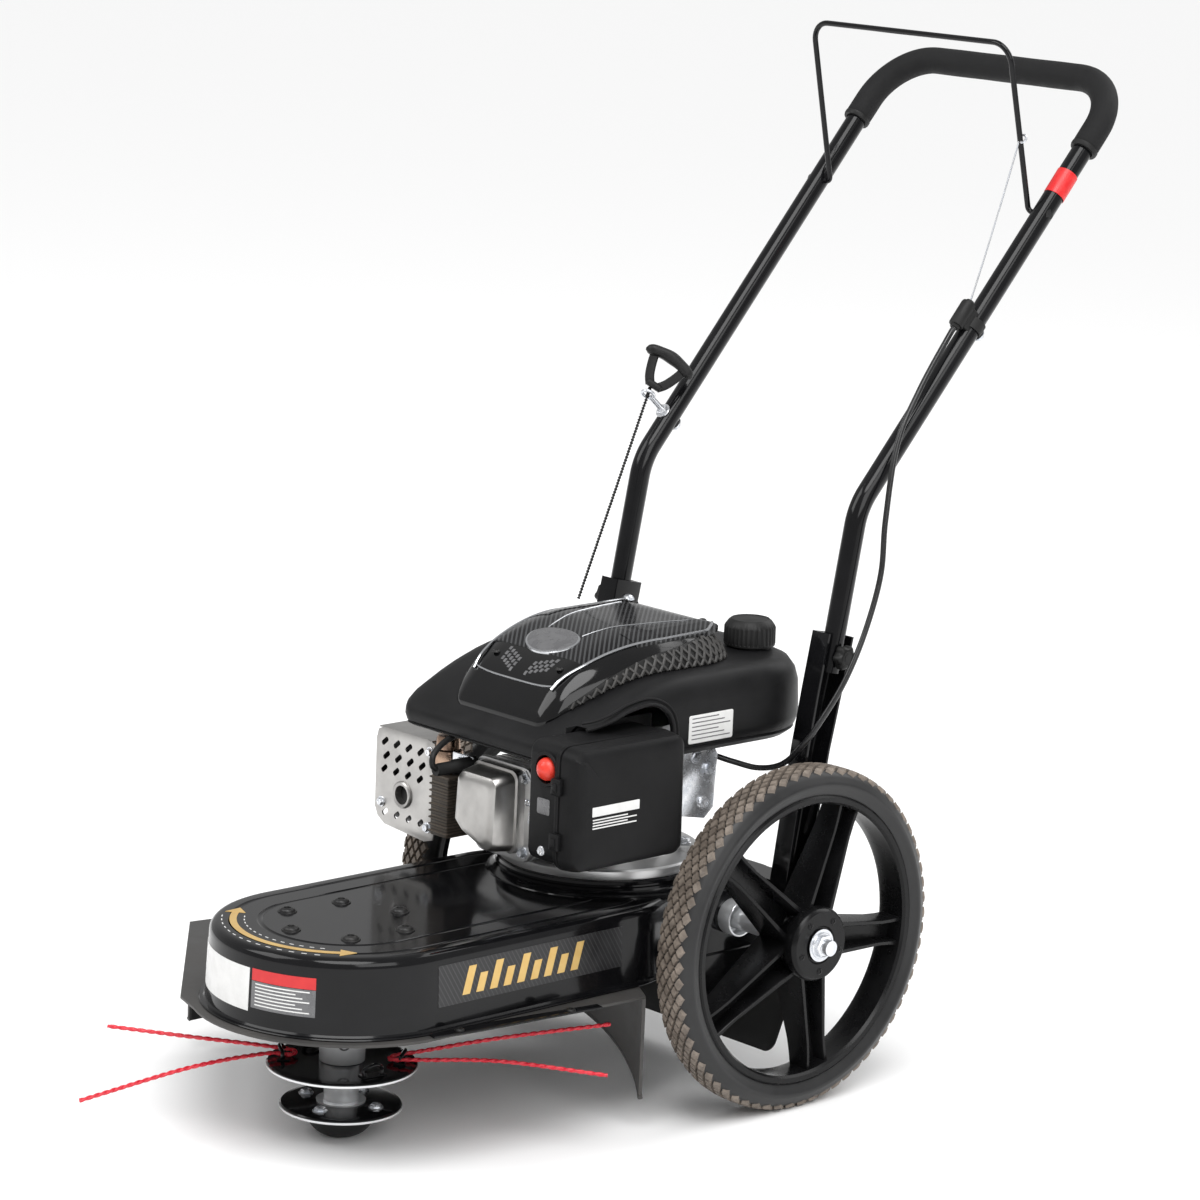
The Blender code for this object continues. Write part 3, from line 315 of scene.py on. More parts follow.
def polar(radius: float, angle: ndarray) -> ndarray:
    """Points at a radius and angles in a plane."""
    return xyz(radius * np.cos(angle), radius * np.sin(angle))


def circle(radius: float, count: int = 24) -> ndarray:
    """Outline of a circle."""
    t = TAU * arange(count) / count
    return polar(radius, t)


def lobed(radius: float, lobes: int, depth: float, count: int = 18) -> ndarray:
    """Outline of twisted strands: the radius falls by depth between the lobes."""
    t = TAU * arange(count) / count
    r = radius * (1 - depth + depth * np.abs(np.cos(lobes * t / 2)))
    return polar(r, t)


def smooth(knots: list, count: int) -> ndarray:
    """Even points along a Catmull-Rom curve through the knots: a cubic blend of four knots."""
    k = asarray(knots, float)
    ends = vstack([2 * k[0] - k[1], k, 2 * k[-1] - k[-2]])
    t = (arange(20) / 20)[None, :, None]
    a, b, c, d = (ends[n:len(ends) - 3 + n, None] for n in range(4))
    fine = 0.5 * (2 * b + (c - a) * t + (2 * a - 5 * b + 4 * c - d) * t ** 2
        + (3 * b - 3 * c + d - a) * t ** 3)
    fine = vstack([fine.reshape(-1, 3), k[-1:]])
    run = travelled(fine)
    where = linspace(0, run[-1], count)
    return stack([interp(where, run, fine[:, n]) for n in range(3)], -1)


def filleted(corners: list, radii: list, steps: int = 10) -> ndarray:
    """A path through corners whose bends are arcs tangent to both straight runs.

    Args:
        corners: the path's corner points.
        radii: one radius for each inner corner.
        steps: arc steps in each bend.

    Returns:
        The path's points.
    """
    pts = [asarray(c, float) for c in corners]
    path = [pts[0][None]]
    for before, corner, after, radius in zip(pts, pts[1:], pts[2:], radii):
        into = unit(before - corner)
        out = unit(after - corner)
        half = acos(float(np.clip(into @ out, -1, 1))) / 2
        middle = unit(into + out)
        centre = corner + middle * radius / sin(half)
        reach = pi / 2 - half
        cross = unit(out - into)
        t = linspace(-reach, reach, steps + 1)[:, None]
        path.append(centre - radius * (np.cos(t) * middle - np.sin(t) * cross))
    path.append(pts[-1][None])
    return vstack(path)


def divided(path: ndarray, step: float) -> ndarray:
    """The path with its points spread evenly, about a step apart."""
    run = travelled(path)
    where = linspace(0, run[-1], max(int(run[-1] / step), 2) + 1)
    where = np.unique(np.concatenate([where, run]))
    keep = np.concatenate([[True], np.diff(where) > 1e-5])
    return stack([interp(where[keep], run, path[:, n]) for n in range(3)], -1)


def facing(direction: ndarray) -> ndarray:
    """Matrix that stands +Z along a direction."""
    turn = Vector(tuple(map(float, direction))).to_track_quat("Z", "Y").to_matrix()
    return array(turn)


def hex_head(at: tuple, direction: tuple, radius: float, height: float,
        washer: float = 1.35) -> Surface:
    """A hexagonal head with a chamfered top, on a washer."""
    shape = [(radius, 0), (radius, height * 0.8), (radius * 0.86, height), (radius * 0.45, height),
        (radius * 0.4, height * 0.92), (0, height * 0.92)]
    head = revolve(shape, segments=6)
    ring = revolve([(0, -0.0002), (radius * washer, -0.0002), (radius * washer, height * 0.2),
        (radius * washer * 0.95, height * 0.26), (0, height * 0.26)], segments=28)
    return (head + ring).aimed(direction, at)


def dome_head(at: tuple, direction: tuple, radius: float, height: float) -> Surface:
    """A pan head with a hexagonal socket: a quarter ellipse round a sunk centre."""
    t = linspace(0, pi / 2, 6)
    rim = [(radius * (0.45 + 0.55 * cos(a)), height * sin(a)) for a in t]
    shape = [(radius, -0.0002)] + rim + [(radius * 0.38, height * 0.45), (0, height * 0.45)]
    return revolve(shape, segments=24).aimed(direction, at)


def mm3(*values: float, across: int = 3) -> list:
    """Group a run of millimetre values into points of three, in metres."""
    metres = [round(v / 1000, 7) for v in values]
    return [tuple(metres[k:k + across]) for k in range(0, len(metres), across)]


def mm2(*values: float) -> list:
    """Group a run of millimetre values into pairs, in metres."""
    return mm3(*values, across=2)


def block(*span: float | Axis) -> Surface:
    """A box from six corner values, a radius, an axis, steps and a corner, in millimetres."""
    low, high = mm3(*span[:6])
    radius, axis, steps, corner = (*span[6:], *(2, Axis.Z, 4, 0)[len(span) - 6:])
    return box(low, high, round(radius / 1000, 7), axis, steps, round(corner / 1000, 7))


def stood(name: str, data: bpy.types.ID) -> Object:
    """Link a new object that holds a mesh, a lamp or a camera."""
    obj = bpy.data.objects.new(name, data)
    bpy.context.scene.collection.objects.link(obj)
    return obj


def meshed(name: str, surface: Surface, merge: float) -> Mesh:
    """Make a surface a mesh: points closer than merge become one and faces turn outward."""
    mesh = bpy.data.meshes.new(name)
    mesh.from_pydata(surface.points.tolist(), [], surface.faces)
    bm = bmesh.new()
    bm.from_mesh(mesh)
    bmesh.ops.remove_doubles(bm, verts=bm.verts, dist=merge)
    bmesh.ops.recalc_face_normals(bm, faces=bm.faces)
    bm.to_mesh(mesh)
    bm.free()
    return mesh


def piece(name: str, surface: "Surface | list", finish: "Finish", stands_for: str = "", *,
        body: str = "chassis", sharp: float = SHARP) -> Object:
    """Turn a surface into a piece that rides on a body.

    Args:
        name: the piece's name.
        surface: its points and faces, in place, or a list of such surfaces.
        finish: what it is made of.
        stands_for: CAD nodes that it replaces, with spaces between them.
        body: the CAD body that it moves with, or nothing to leave it unattached.
        sharp: edges that turn by more than this stay sharp.

    Returns:
        The linked object.
    """
    if isinstance(surface, list):
        surface = joined(surface)
    mesh = meshed(name, surface, 2e-5)
    obj = stood(name, mesh)
    shade(mesh, sharp)
    mesh.materials.append(finish.material())
    if body:
        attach(obj, body)
    if stands_for:
        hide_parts(*stands_for.split())
    log.info("%s: %d faces on %s", name, len(mesh.polygons), body)
    return obj


def shade(mesh: Mesh, sharp: float) -> None:
    """Shade a mesh smooth except over edges that turn by more than sharp."""
    mesh.polygons.foreach_set("use_smooth", np.ones(len(mesh.polygons), bool))
    mesh.set_sharp_from_angle(angle=sharp)


def carved(obj: Object, cutter: Surface, sharp: float = SHARP) -> None:
    """Cut closed shapes out of a piece and keep only the resulting mesh.

    Args:
        obj: the piece.
        cutter: the shapes to cut away.
        sharp: edges that turn by more than this stay sharp.
    """
    tool = stood("cutter", meshed("cutter", cutter, 1e-6))
    modifier = obj.modifiers.new("carve", "BOOLEAN")
    modifier.operation = "DIFFERENCE"
    modifier.solver = "EXACT"
    modifier.use_self = True
    modifier.object = tool
    evaluated = obj.evaluated_get(bpy.context.evaluated_depsgraph_get())
    result = bpy.data.meshes.new_from_object(evaluated)
    obj.modifiers.clear()
    bpy.data.objects.remove(tool)
    obj.data = result
    shade(result, sharp)


# Finishes
def group(name: str, inputs: dict, outputs: dict) -> tuple:
    """Start a shader node group with named sockets.

    Args:
        name: the group's name.
        inputs: socket name to its default; a tuple makes a colour.
        outputs: socket name to its socket type.

    Returns:
        The tree, its input node and its output node.
    """
    tree = bpy.data.node_groups.new(name, "ShaderNodeTree")
    for label, value in inputs.items():
        kind = "NodeSocketColor" if isinstance(value, tuple) else "NodeSocketFloat"
        tree.interface.new_socket(label, in_out="INPUT", socket_type=kind).default_value = value
    for label, kind in outputs.items():
        tree.interface.new_socket(label, in_out="OUTPUT", socket_type=kind)
    return tree, tree.nodes.new("NodeGroupInput"), tree.nodes.new("NodeGroupOutput")


def adjusted(node: Node, **values: float) -> Node:
    """Set a node's inputs by name, with _ for a space, and return it."""
    for label, value in values.items():
        node.inputs[label.replace("_", " ")].default_value = value
    return node


def added(tree: NodeTree, kind: str, **values: float) -> Node:
    """Add a shader node of a kind with some of its inputs set."""
    return adjusted(tree.nodes.new(f"ShaderNode{kind}"), **values)


def mottle_group() -> NodeTree:
    """Group that drifts between two colours and two roughnesses with layered noise."""
    found = bpy.data.node_groups.get("mottle")
    if found:
        return found
    tree, given, result = group("mottle", {"Base": (0.5, 0.5, 0.5, 1.0), "Worn": (0.6, 0.6, 0.6,
        1.0), "Scale": 20.0, "Smooth": 0.3, "Rough": 0.5}, {"Colour": "NodeSocketColor",
        "Roughness": "NodeSocketFloat", "Mask": "NodeSocketFloat"})
    link = tree.links.new
    place = added(tree, "TexCoord")
    noise = added(tree, "TexNoise", Detail=6.0, Roughness=0.62)
    link(place.outputs["Object"], noise.inputs["Vector"])
    link(given.outputs["Scale"], noise.inputs["Scale"])
    spread = added(tree, "MapRange", From_Min=0.38, From_Max=0.68)
    link(noise.outputs["Fac"], spread.inputs["Value"])
    mix = added(tree, "Mix")
    mix.data_type = "RGBA"
    link(spread.outputs["Result"], mix.inputs[0])
    link(given.outputs["Base"], mix.inputs[6])
    link(given.outputs["Worn"], mix.inputs[7])
    level = added(tree, "MapRange")
    link(spread.outputs["Result"], level.inputs["Value"])
    link(given.outputs["Smooth"], level.inputs["To Min"])
    link(given.outputs["Rough"], level.inputs["To Max"])
    link(mix.outputs[2], result.inputs["Colour"])
    link(level.outputs["Result"], result.inputs["Roughness"])
    link(spread.outputs["Result"], result.inputs["Mask"])
    return tree


def grain_group() -> NodeTree:
    """Group that gives a fine height: small noise plus a share of coarse cells."""
    found = bpy.data.node_groups.get("grain")
    if found:
        return found
    tree, given, result = group("grain", {"Scale": 900.0, "Cells": 0.0},
        {"Height": "NodeSocketFloat"})
    link = tree.links.new
    place = added(tree, "TexCoord")
    noise = added(tree, "TexNoise", Detail=3.0)
    cells = added(tree, "TexVoronoi")
    for node in (noise, cells):
        link(place.outputs["Object"], node.inputs["Vector"])
        link(given.outputs["Scale"], node.inputs["Scale"])
    mix = added(tree, "Mix")
    link(given.outputs["Cells"], mix.inputs[0])
    link(noise.outputs["Fac"], mix.inputs[2])
    link(cells.outputs["Distance"], mix.inputs[3])
    link(mix.outputs[0], result.inputs["Height"])
    return tree


def stripes_group() -> NodeTree:
    """Group that gives a mask of straight bands across a direction in object space."""
    found = bpy.data.node_groups.get("stripes")
    if found:
        return found
    tree, given, result = group("stripes", {"Across X": 1.0, "Across Y": 0.0, "Across Z": 0.0,
        "Pitch": 0.004, "Share": 0.5}, {"Mask": "NodeSocketFloat"})
    link = tree.links.new
    place = added(tree, "TexCoord")
    way = added(tree, "CombineXYZ")
    for label, socket in zip(("Across X", "Across Y", "Across Z"), way.inputs):
        link(given.outputs[label], socket)
    dot = added(tree, "VectorMath")
    dot.operation = "DOT_PRODUCT"
    link(place.outputs["Object"], dot.inputs[0])
    link(way.outputs[0], dot.inputs[1])
    steps = []
    for operation in ("DIVIDE", "FRACT", "SUBTRACT", "ABSOLUTE"):
        node = added(tree, "Math")
        node.operation = operation
        if steps:
            link(steps[-1].outputs[0], node.inputs[0])
        steps.append(node)
    link(dot.outputs["Value"], steps[0].inputs[0])
    link(given.outputs["Pitch"], steps[0].inputs[1])
    steps[2].inputs[1].default_value = 0.5
    half = added(tree, "Math")
    half.operation = "MULTIPLY"
    half.inputs[1].default_value = 0.5
    link(given.outputs["Share"], half.inputs[0])
    edge = added(tree, "Math")
    edge.operation = "LESS_THAN"
    link(steps[3].outputs[0], edge.inputs[0])
    link(half.outputs[0], edge.inputs[1])
    link(edge.outputs[0], result.inputs["Mask"])
    return tree


@dataclass(frozen=True)
class Finish:
    """A procedural finish: two colours that drift, a range of gloss and a fine surface grain.

    Fields give its usual material slot, the base and worn colour, the noise scale, the
    roughness range, the metallic share, the grain's scale, its strength and its share of
    cells, and the clear coat.
    """

    name: str
    slot: str
    base: tuple
    worn: tuple
    scale: float = 25.0
    gloss: tuple = (0.3, 0.5)
    metallic: float = 0.0
    grain: float = 900.0
    bump: float = 0.1
    cells: float = 0.0
    coat: float = 0.0
    coat_roughness: float = 0.05
    specular: float = 0.5
    stripe: tuple = ()
    stripe_colour: tuple = (0.0, 0.0, 0.0)

    def material(self) -> Material:
        """Return the finish's material, building it the first time."""
        found = bpy.data.materials.get(self.name)
        if found:
            return found
        made = bpy.data.materials.new(self.name)
        made.use_nodes = True
        tree = made.node_tree
        shader = adjusted(tree.nodes["Principled BSDF"], Metallic=self.metallic,
            Coat_Weight=self.coat, Coat_Roughness=self.coat_roughness,
            Specular_IOR_Level=self.specular)
        drift = adjusted(self.placed_group(tree, mottle_group()), Base=(*self.base, 1.0),
            Worn=(*self.worn, 1.0), Scale=self.scale, Smooth=self.gloss[0], Rough=self.gloss[1])
        colour = drift.outputs["Colour"]
        if self.stripe:
            colour = self.striped(tree, colour)
        tree.links.new(colour, shader.inputs["Base Color"])
        tree.links.new(drift.outputs["Roughness"], shader.inputs["Roughness"])
        grain = adjusted(self.placed_group(tree, grain_group()), Scale=self.grain, Cells=self.cells)
        bump = added(tree, "Bump", Strength=self.bump, Distance=0.0006)
        tree.links.new(grain.outputs["Height"], bump.inputs["Height"])
        tree.links.new(bump.outputs["Normal"], shader.inputs["Normal"])
        return made

    def placed_group(self, tree: NodeTree, source: NodeTree) -> Node:
        """Place a shared group in a material and return its node."""
        node = added(tree, "Group")
        node.node_tree = source
        return node

    def striped(self, tree: NodeTree, colour: NodeSocket) -> NodeSocket:
        """Mix the stripes' colour over another colour and return the result's socket."""
        bands = self.placed_group(tree, stripes_group())
        labels = ("Across X", "Across Y", "Across Z", "Pitch", "Share")
        for label, value in zip(labels, self.stripe):
            bands.inputs[label].default_value = value
        mix = added(tree, "Mix")
        mix.data_type = "RGBA"
        mix.inputs[7].default_value = (*self.stripe_colour, 1.0)
        tree.links.new(bands.outputs["Mask"], mix.inputs[0])
        tree.links.new(colour, mix.inputs[6])
        return mix.outputs[2]


POWDER_COAT = Finish("black_powder_coat", "painted_black", (0.004, 0.004, 0.0045), (0.007, 0.007,
    0.008), 14.0, (0.1, 0.17), grain=420.0, bump=0.012, coat=0.12, specular=0.2)
DARK_STEEL = Finish("dark_steel", "painted_black", (0.012, 0.012, 0.013), (0.03, 0.029, 0.028),
    40.0, (0.35, 0.5), metallic=0.4, bump=0.1)
HOOD_PLASTIC = Finish("hood_plastic", "black_plastic", (0.0075, 0.0075, 0.008), (0.012, 0.012,
    0.0125), 18.0, (0.36, 0.48), grain=1500.0, bump=0.2, cells=0.4, specular=0.16)
BOX_PLASTIC = Finish("filter_plastic", "black_plastic", (0.006, 0.006, 0.0064), (0.01, 0.01,
    0.0105), 22.0, (0.38, 0.5), grain=1700.0, bump=0.22, cells=0.5, specular=0.13)
GUARD_PLASTIC = Finish("guard_plastic", "black_plastic", (0.04, 0.039, 0.038), (0.058, 0.055,
    0.052), 12.0, (0.4, 0.56), grain=700.0, bump=0.2, specular=0.4)
RIM_PLASTIC = Finish("rim_plastic", "black_plastic", (0.004, 0.004, 0.0043), (0.008, 0.008, 0.0085),
    20.0, (0.22, 0.34), grain=900.0, bump=0.1, specular=0.2)
COVER_GLOSS = Finish("cover_gloss", "gloss_plastic", (0.003, 0.003, 0.0032), (0.005, 0.005, 0.0055),
    10.0, (0.07, 0.12), grain=300.0, bump=0.01, coat=0.2, specular=0.25)
COVER_WEAVE = Finish("cover_weave", "gloss_plastic", (0.006, 0.006, 0.0065), (0.01, 0.01, 0.011),
    60.0, (0.16, 0.26), grain=600.0, bump=0.02, coat=0.1, specular=0.14, stripe=(0.72, 0.69, 0.0,
    0.0046, 0.42), stripe_colour=(0.055, 0.056, 0.058))
CHROME_TRIM = Finish("silver_trim", "gloss_plastic", (0.62, 0.63, 0.65), (0.5, 0.51, 0.53), 30.0,
    (0.16, 0.26), metallic=1.0, bump=0.02)
ZINC = Finish("zinc_plate", "zinc", (0.78, 0.79, 0.81), (0.58, 0.61, 0.66), 55.0, (0.18, 0.34),
    metallic=0.8, grain=1300.0, bump=0.06)
# Bright zinc-plated steel whose base is paler and less metallic than ZINC: painted light on the
# hub, spacer, disc edges and wheel cups, which sit in shade.
STEEL_PAINTED_LIGHTER = Finish("steel_painted_lighter", "zinc", (0.88, 0.89, 0.9), (0.8, 0.81, 0.83), 24.0, (0.2,
    0.28), metallic=0.55, grain=900.0, bump=0.02)
SATIN_PLATE = Finish("satin_plate", "zinc", (0.47, 0.46, 0.445), (0.4, 0.39, 0.38), 28.0, (0.3,
    0.4), metallic=1.0, grain=2200.0, bump=0.05)
CAST_ALLOY = Finish("cast_alloy", "cast_alloy", (0.52, 0.52, 0.52), (0.4, 0.4, 0.395), 70.0, (0.38,
    0.56), metallic=1.0, grain=900.0, bump=0.5, cells=0.4)
BRONZE = Finish("heat_tinted_steel", "zinc", (0.42, 0.29, 0.21), (0.3, 0.2, 0.15), 60.0, (0.2,
    0.34), metallic=1.0, grain=900.0, bump=0.08)
DUCT_BROWN = Finish("duct_board", "black_plastic", (0.055, 0.043, 0.032), (0.085, 0.066, 0.048),
    90.0, (0.55, 0.7), grain=800.0, bump=0.3, stripe=(0.0, 0.0, 1.0, 0.0032, 0.35),
    stripe_colour=(0.03, 0.024, 0.018))
TYRE_RUBBER = Finish("tyre_sidewall", "tyre", (0.012, 0.012, 0.0125), (0.02, 0.02, 0.0205), 16.0,
    (0.36, 0.5), grain=900.0, bump=0.12, specular=0.4)
TREAD_RUBBER = Finish("tread_blocks", "tyre", (0.12, 0.098, 0.08), (0.24, 0.2, 0.165), 70.0, (0.5,
    0.72), grain=700.0, bump=0.5, cells=0.3)
BLACK_RUBBER = Finish("black_rubber", "black_plastic", (0.006, 0.006, 0.006), (0.011, 0.011, 0.011),
    30.0, (0.42, 0.6), grain=1100.0, bump=0.15, specular=0.3)
FOAM = Finish("foam_grip", "foam", (0.008, 0.008, 0.0085), (0.014, 0.014, 0.0145), 60.0, (0.6,
    0.78), grain=1500.0, bump=0.6, cells=0.6, specular=0.22)
RED_NYLON = Finish("red_nylon", "red_line", (0.62, 0.012, 0.03), (0.74, 0.05, 0.07), 140.0, (0.24,
    0.36), grain=1500.0, bump=0.1)
RED_RUBBER = Finish("red_rubber", "red_bulb", (0.66, 0.035, 0.02), (0.74, 0.05, 0.03), 60.0, (0.28,
    0.4), grain=900.0, bump=0.06)
RED_TAPE = Finish("red_tape", "red_bulb", (0.62, 0.012, 0.015), (0.72, 0.03, 0.03), 80.0, (0.3,
    0.42))
GOLD_FILM = Finish("gold_film", "painted_black", (0.66, 0.42, 0.13), (0.72, 0.5, 0.19), 60.0, (0.28,
    0.4), metallic=0.35, bump=0.02)
DECAL_BLACK = Finish("decal_black", "painted_black", (0.012, 0.012, 0.013), (0.02, 0.02, 0.021),
    60.0, (0.3, 0.42), bump=0.05, stripe=(0.0, 1.0, 0.6, 0.0052, 0.2), stripe_colour=(0.045, 0.045,
    0.047))
LABEL_WHITE = Finish("label_white", "black_plastic", (0.74, 0.74, 0.73), (0.68, 0.68, 0.67), 80.0,
    (0.35, 0.5))
LABEL_RED = Finish("label_red", "painted_black", (0.55, 0.02, 0.025), (0.6, 0.03, 0.03), 80.0,
    (0.35, 0.5))
LABEL_GREY = Finish("label_grey", "black_plastic", (0.13, 0.13, 0.135), (0.17, 0.17, 0.175), 80.0,
    (0.25, 0.35), metallic=0.3)
GREEN_BOWL = Finish("green_casting", "cast_alloy", (0.016, 0.03, 0.026), (0.03, 0.045, 0.04), 60.0,
    (0.3, 0.45), grain=900.0, bump=0.2)
BLACK_CORD = Finish("black_cord", "black_cord", (0.01, 0.01, 0.01), (0.02, 0.02, 0.02), 150.0,
    (0.45, 0.62), grain=1800.0, bump=0.4)
CABLE_SLEEVE = Finish("cable_sleeve", "cable_jacket", (0.009, 0.009, 0.0095), (0.014, 0.014, 0.015),
    60.0, (0.22, 0.34), grain=1200.0, bump=0.06)


# Chassis
@dataclass
class Deck:
    """The pressed black tongue, its engine pedestal, bolts, brackets and printed films."""

    half: float = 0.136
    tail: float = 0.1
    rear: float = 0.5
    bottom: float = 0.1395
    top: float = 0.218
    pedestal: float = 0.107
    bolt_circle: float = 0.064

    def outline(self, grow: float) -> ndarray:
        """Plan grown outward: a half circle, straight sides, a smooth step in, a square tail."""
        half, tail, rear = self.half + grow, self.tail + grow, self.rear + grow
        t = linspace(pi, TAU, 73)
        nose = polar(half, t)
        y_side = linspace(0, 0.262, 14)[1:]
        side = xyz(np.full(13, half), y_side)
        s = spaced(17)[1:]
        ease = s * s * (3 - 2 * s)
        step = xyz(half - (half - tail) * ease, 0.262 + 0.125 * s)
        turn = linspace(0, pi / 2, 7)
        corner = xyz(tail - 0.008 + 0.008 * np.cos(turn), rear - 0.008 + 0.008 * np.sin(turn))
        right = vstack([side, step, corner])
        return vstack([nose, right, right[::-1] * (-1, 1)])

    def shell(self) -> Surface:
        """Wall from the inside up, round the lip, up the side and over the grooved top."""
        t = linspace(0, pi / 2, 7)
        brow = [(-0.003 - 0.01 * (1 - cos(a)), self.top - 0.01 + 0.01 * sin(a)) for a in t]
        groove = mm2(0, 0, -1.2, -0.9, -3, -1.4, -4.8, -0.9, -6, 0)
        rows = [(-0.092, 0.2155), (-0.015, 0.2155), (-0.0052, 0.206), (-0.003, 0.145), (-0.002,
            self.bottom), (0.0052, self.bottom), (0.006, self.bottom + 0.001), (0.0052,
            self.bottom + 0.002), (0.0018, self.bottom + 0.0024), (0.0002, self.bottom + 0.0042),
            (-0.0008, 0.155), (-0.002, 0.185)] + brow
        for start in (-0.021, -0.049):
            rows += [(start + g, self.top + z) for g, z in groove]
        rows += [(-0.07, self.top), (-0.092, self.top)]
        rings = []
        for grow, z in rows:
            plan = self.outline(grow)
            rings.append(np.column_stack([plan, np.full(len(plan), z)]))
        return grid(stack(rings))

    def pedestal_surface(self) -> Surface:
        """The round engine seat: a stepped profile turned about the engine's axis."""
        r, z = self.pedestal, self.top
        shape = [(0, z - 0.001), (r + 0.01, z - 0.001), (r + 0.0085, z + 0.0012), (r + 0.003,
            z + 0.003), (r, z + 0.006), (r, z + 0.0085), (r - 0.0016, z + 0.0095), (r - 0.0016,
            z + 0.0112), (r, z + 0.0122), (r - 0.0006, z + 0.015), (r - 0.003, z + 0.0163), (0,
            z + 0.0163)]
        return revolve(shape, centre=(0, ENGINE_Y, 0), segments=96)

    def build(self) -> None:
        """Make the deck and what is fixed or printed on it."""
        piece("deck", self.shell() + self.pedestal_surface(), POWDER_COAT, "deck_shell")
        angles = np.radians(25 + 60 * arange(6))
        heads = [dome_head((self.bolt_circle * cos(a), self.bolt_circle * sin(a), self.top), (0, 0,
            1), 0.0082, 0.0042) for a in angles]
        rims = [revolve(mm2(0, 0, 9.8, 0, 9.4, 1, 0, 1),
            segments=32).moved((self.bolt_circle * cos(a), self.bolt_circle * sin(a), self.top))
            for a in angles]
        piece("deck_bolts", heads + rims, DARK_STEEL)
        self.brackets()
        self.films()

    def brackets(self) -> None:
        """The axle plates beside the tail, with their bolts."""
        outline = array(mm2(352, 206, 352, 142, 372, 108, 384, 100, 468, 100, 482, 110, 488, 130,
            490, 206))
        parts = []
        for side in (1, -1):
            slab = plate(outline, 0.1012, 0.1042, Axis.X, 0.001, 3)
            parts.append(slab.sided(side))
            lip = block(101.2, 384, 98.5, 112, 468, 101.5, 1.2, Axis.Y)
            parts.append(lip.sided(side))
        piece("axle_plates", parts, POWDER_COAT)
        bolts = []
        for side in (1, -1):
            for y, z in mm2(372, 190, 470, 190, 375, 128, 470, 122):
                bolts.append(hex_head((0.1042, y, z), (1, 0, 0), 0.0062, 0.005).sided(side))
        piece("plate_bolts", bolts, ZINC)

    def films(self) -> None:
        """Printed films: a two-headed arrow on the nose, bars on the sides, blank labels."""
        z = self.top + 0.0003
        t = np.radians(linspace(-140, -42, 60))
        rings = stack([xyz(r * np.cos(t), r * np.sin(t), np.full(60, z)) for r in (0.1065, 0.1135)],
            1)
        band = self.film(rings)
        heads = []
        for angle, way in ((-140, -1), (-42, 1)):
            a = radians(angle)
            tip = a + way * radians(8.5)
            heads.append(array([(0.1205 * cos(a), 0.1205 * sin(a)), (0.11 * cos(tip),
                0.11 * sin(tip)), (0.1 * cos(a), 0.1 * sin(a))])[::int(way)])
        arrows = [plate(h, self.top - 0.0002, z + 0.0001, Axis.Z, 0.00005, 1) for h in heads]
        piece("rotation_arrow", [band] + arrows, GOLD_FILM)
        dashes = []
        for radius in (0.0985, 0.1205):
            for start in arange(-134, -48, 6.2):
                t = np.radians(linspace(start, start + 2.6, 4))
                rows = stack([xyz(r * np.cos(t), r * np.sin(t), np.full(4, z)) for r in (radius,
                    radius + 0.0011)], 1)
                dashes.append(self.film(rows))
        piece("arrow_dashes", dashes, LABEL_WHITE)
        self.side_film()
        self.nose_labels()

    def film(self, rings: ndarray, thickness: float = 0.0003) -> Surface:
        """A thin closed strip: outer rows, then the same rows pushed down by a thickness."""
        return layered(rings, rings - (0, 0, thickness))

    def lean(self, z: ndarray) -> ndarray:
        """How far the side wall stands out at each height."""
        return interp(z, [0.144, 0.155, 0.185, 0.208], [0.0001, -0.0008, -0.002, -0.003])

    def wall_point(self, y: ndarray, z: ndarray, out: float) -> ndarray:
        """Points on the flat side wall, which leans in as it rises, pushed out a little."""
        lean = self.lean(z)
        return xyz(self.half + lean + out, y, z)

    def side_film(self) -> None:
        """The dark film on each side wall with slanted gold bars in place of any wording."""
        for name, side in SIDES:
            y = linspace(0.006, 0.245, 40)
            z = array([0.1625, 0.175, 0.185, 0.195, 0.2035])
            yy, zz = np.meshgrid(y, z, indexing="ij")
            outer = self.wall_point(yy, zz, 0.00035)
            inner = self.wall_point(yy, zz, 0)
            piece(f"{name}_side_film", layered(outer, inner).sided(side), DECAL_BLACK)
            bars = []
            for k in range(9):
                start = 0.036 + 0.0175 * k
                height = 0.0275 if k % 2 == 0 else 0.0185
                zz = array([0.17, 0.17 + height])[None, :] + np.zeros((2, 1))
                yy = array([[start], [start + 0.0095]]) + (zz - 0.17) * 0.32
                outer = self.wall_point(yy, zz, 0.0006)
                inner = self.wall_point(yy, zz, 0.0002)
                bars.append(layered(outer, inner))
            piece(f"{name}_side_bars", joined(bars).sided(side), GOLD_FILM)

    def nose_labels(self) -> None:
        """Blank labels that wrap the nose: a pale one, a red heading and a dark lined one."""
        for name, span, rise, finish in (("pale_label", (-130, -82), (0.1555, 0.198), LABEL_WHITE),
                ("red_label", (-80.5, -51), (0.187, 0.1985), LABEL_RED), ("dark_label", (-80.5,
                -51), (0.16, 0.1865), LABEL_GREY)):
            piece(name, self.wrapped(span, rise, 0.0004), finish)
        lines = [self.wrapped((-78.5, -53.5 - 3 * (k % 3)), (z, z + 0.0012), 0.0006) for k,
            z in enumerate(linspace(0.163, 0.1835, 7))]
        piece("label_lines", lines, LABEL_WHITE)

    def wrapped(self, span: tuple, rise: tuple, out: float) -> Surface:
        """A film round the nose between two angles and two heights."""
        t = np.radians(linspace(span[0], span[1], 24))[:, None]
        z = linspace(rise[0], rise[1], 4)[None, :]
        lean = self.lean(z)
        rows = [stack(np.broadcast_arrays((self.half + lean + d) * np.cos(t),
            (self.half + lean + d) * np.sin(t), z), -1) for d in (out, 0)]
        return layered(*rows)


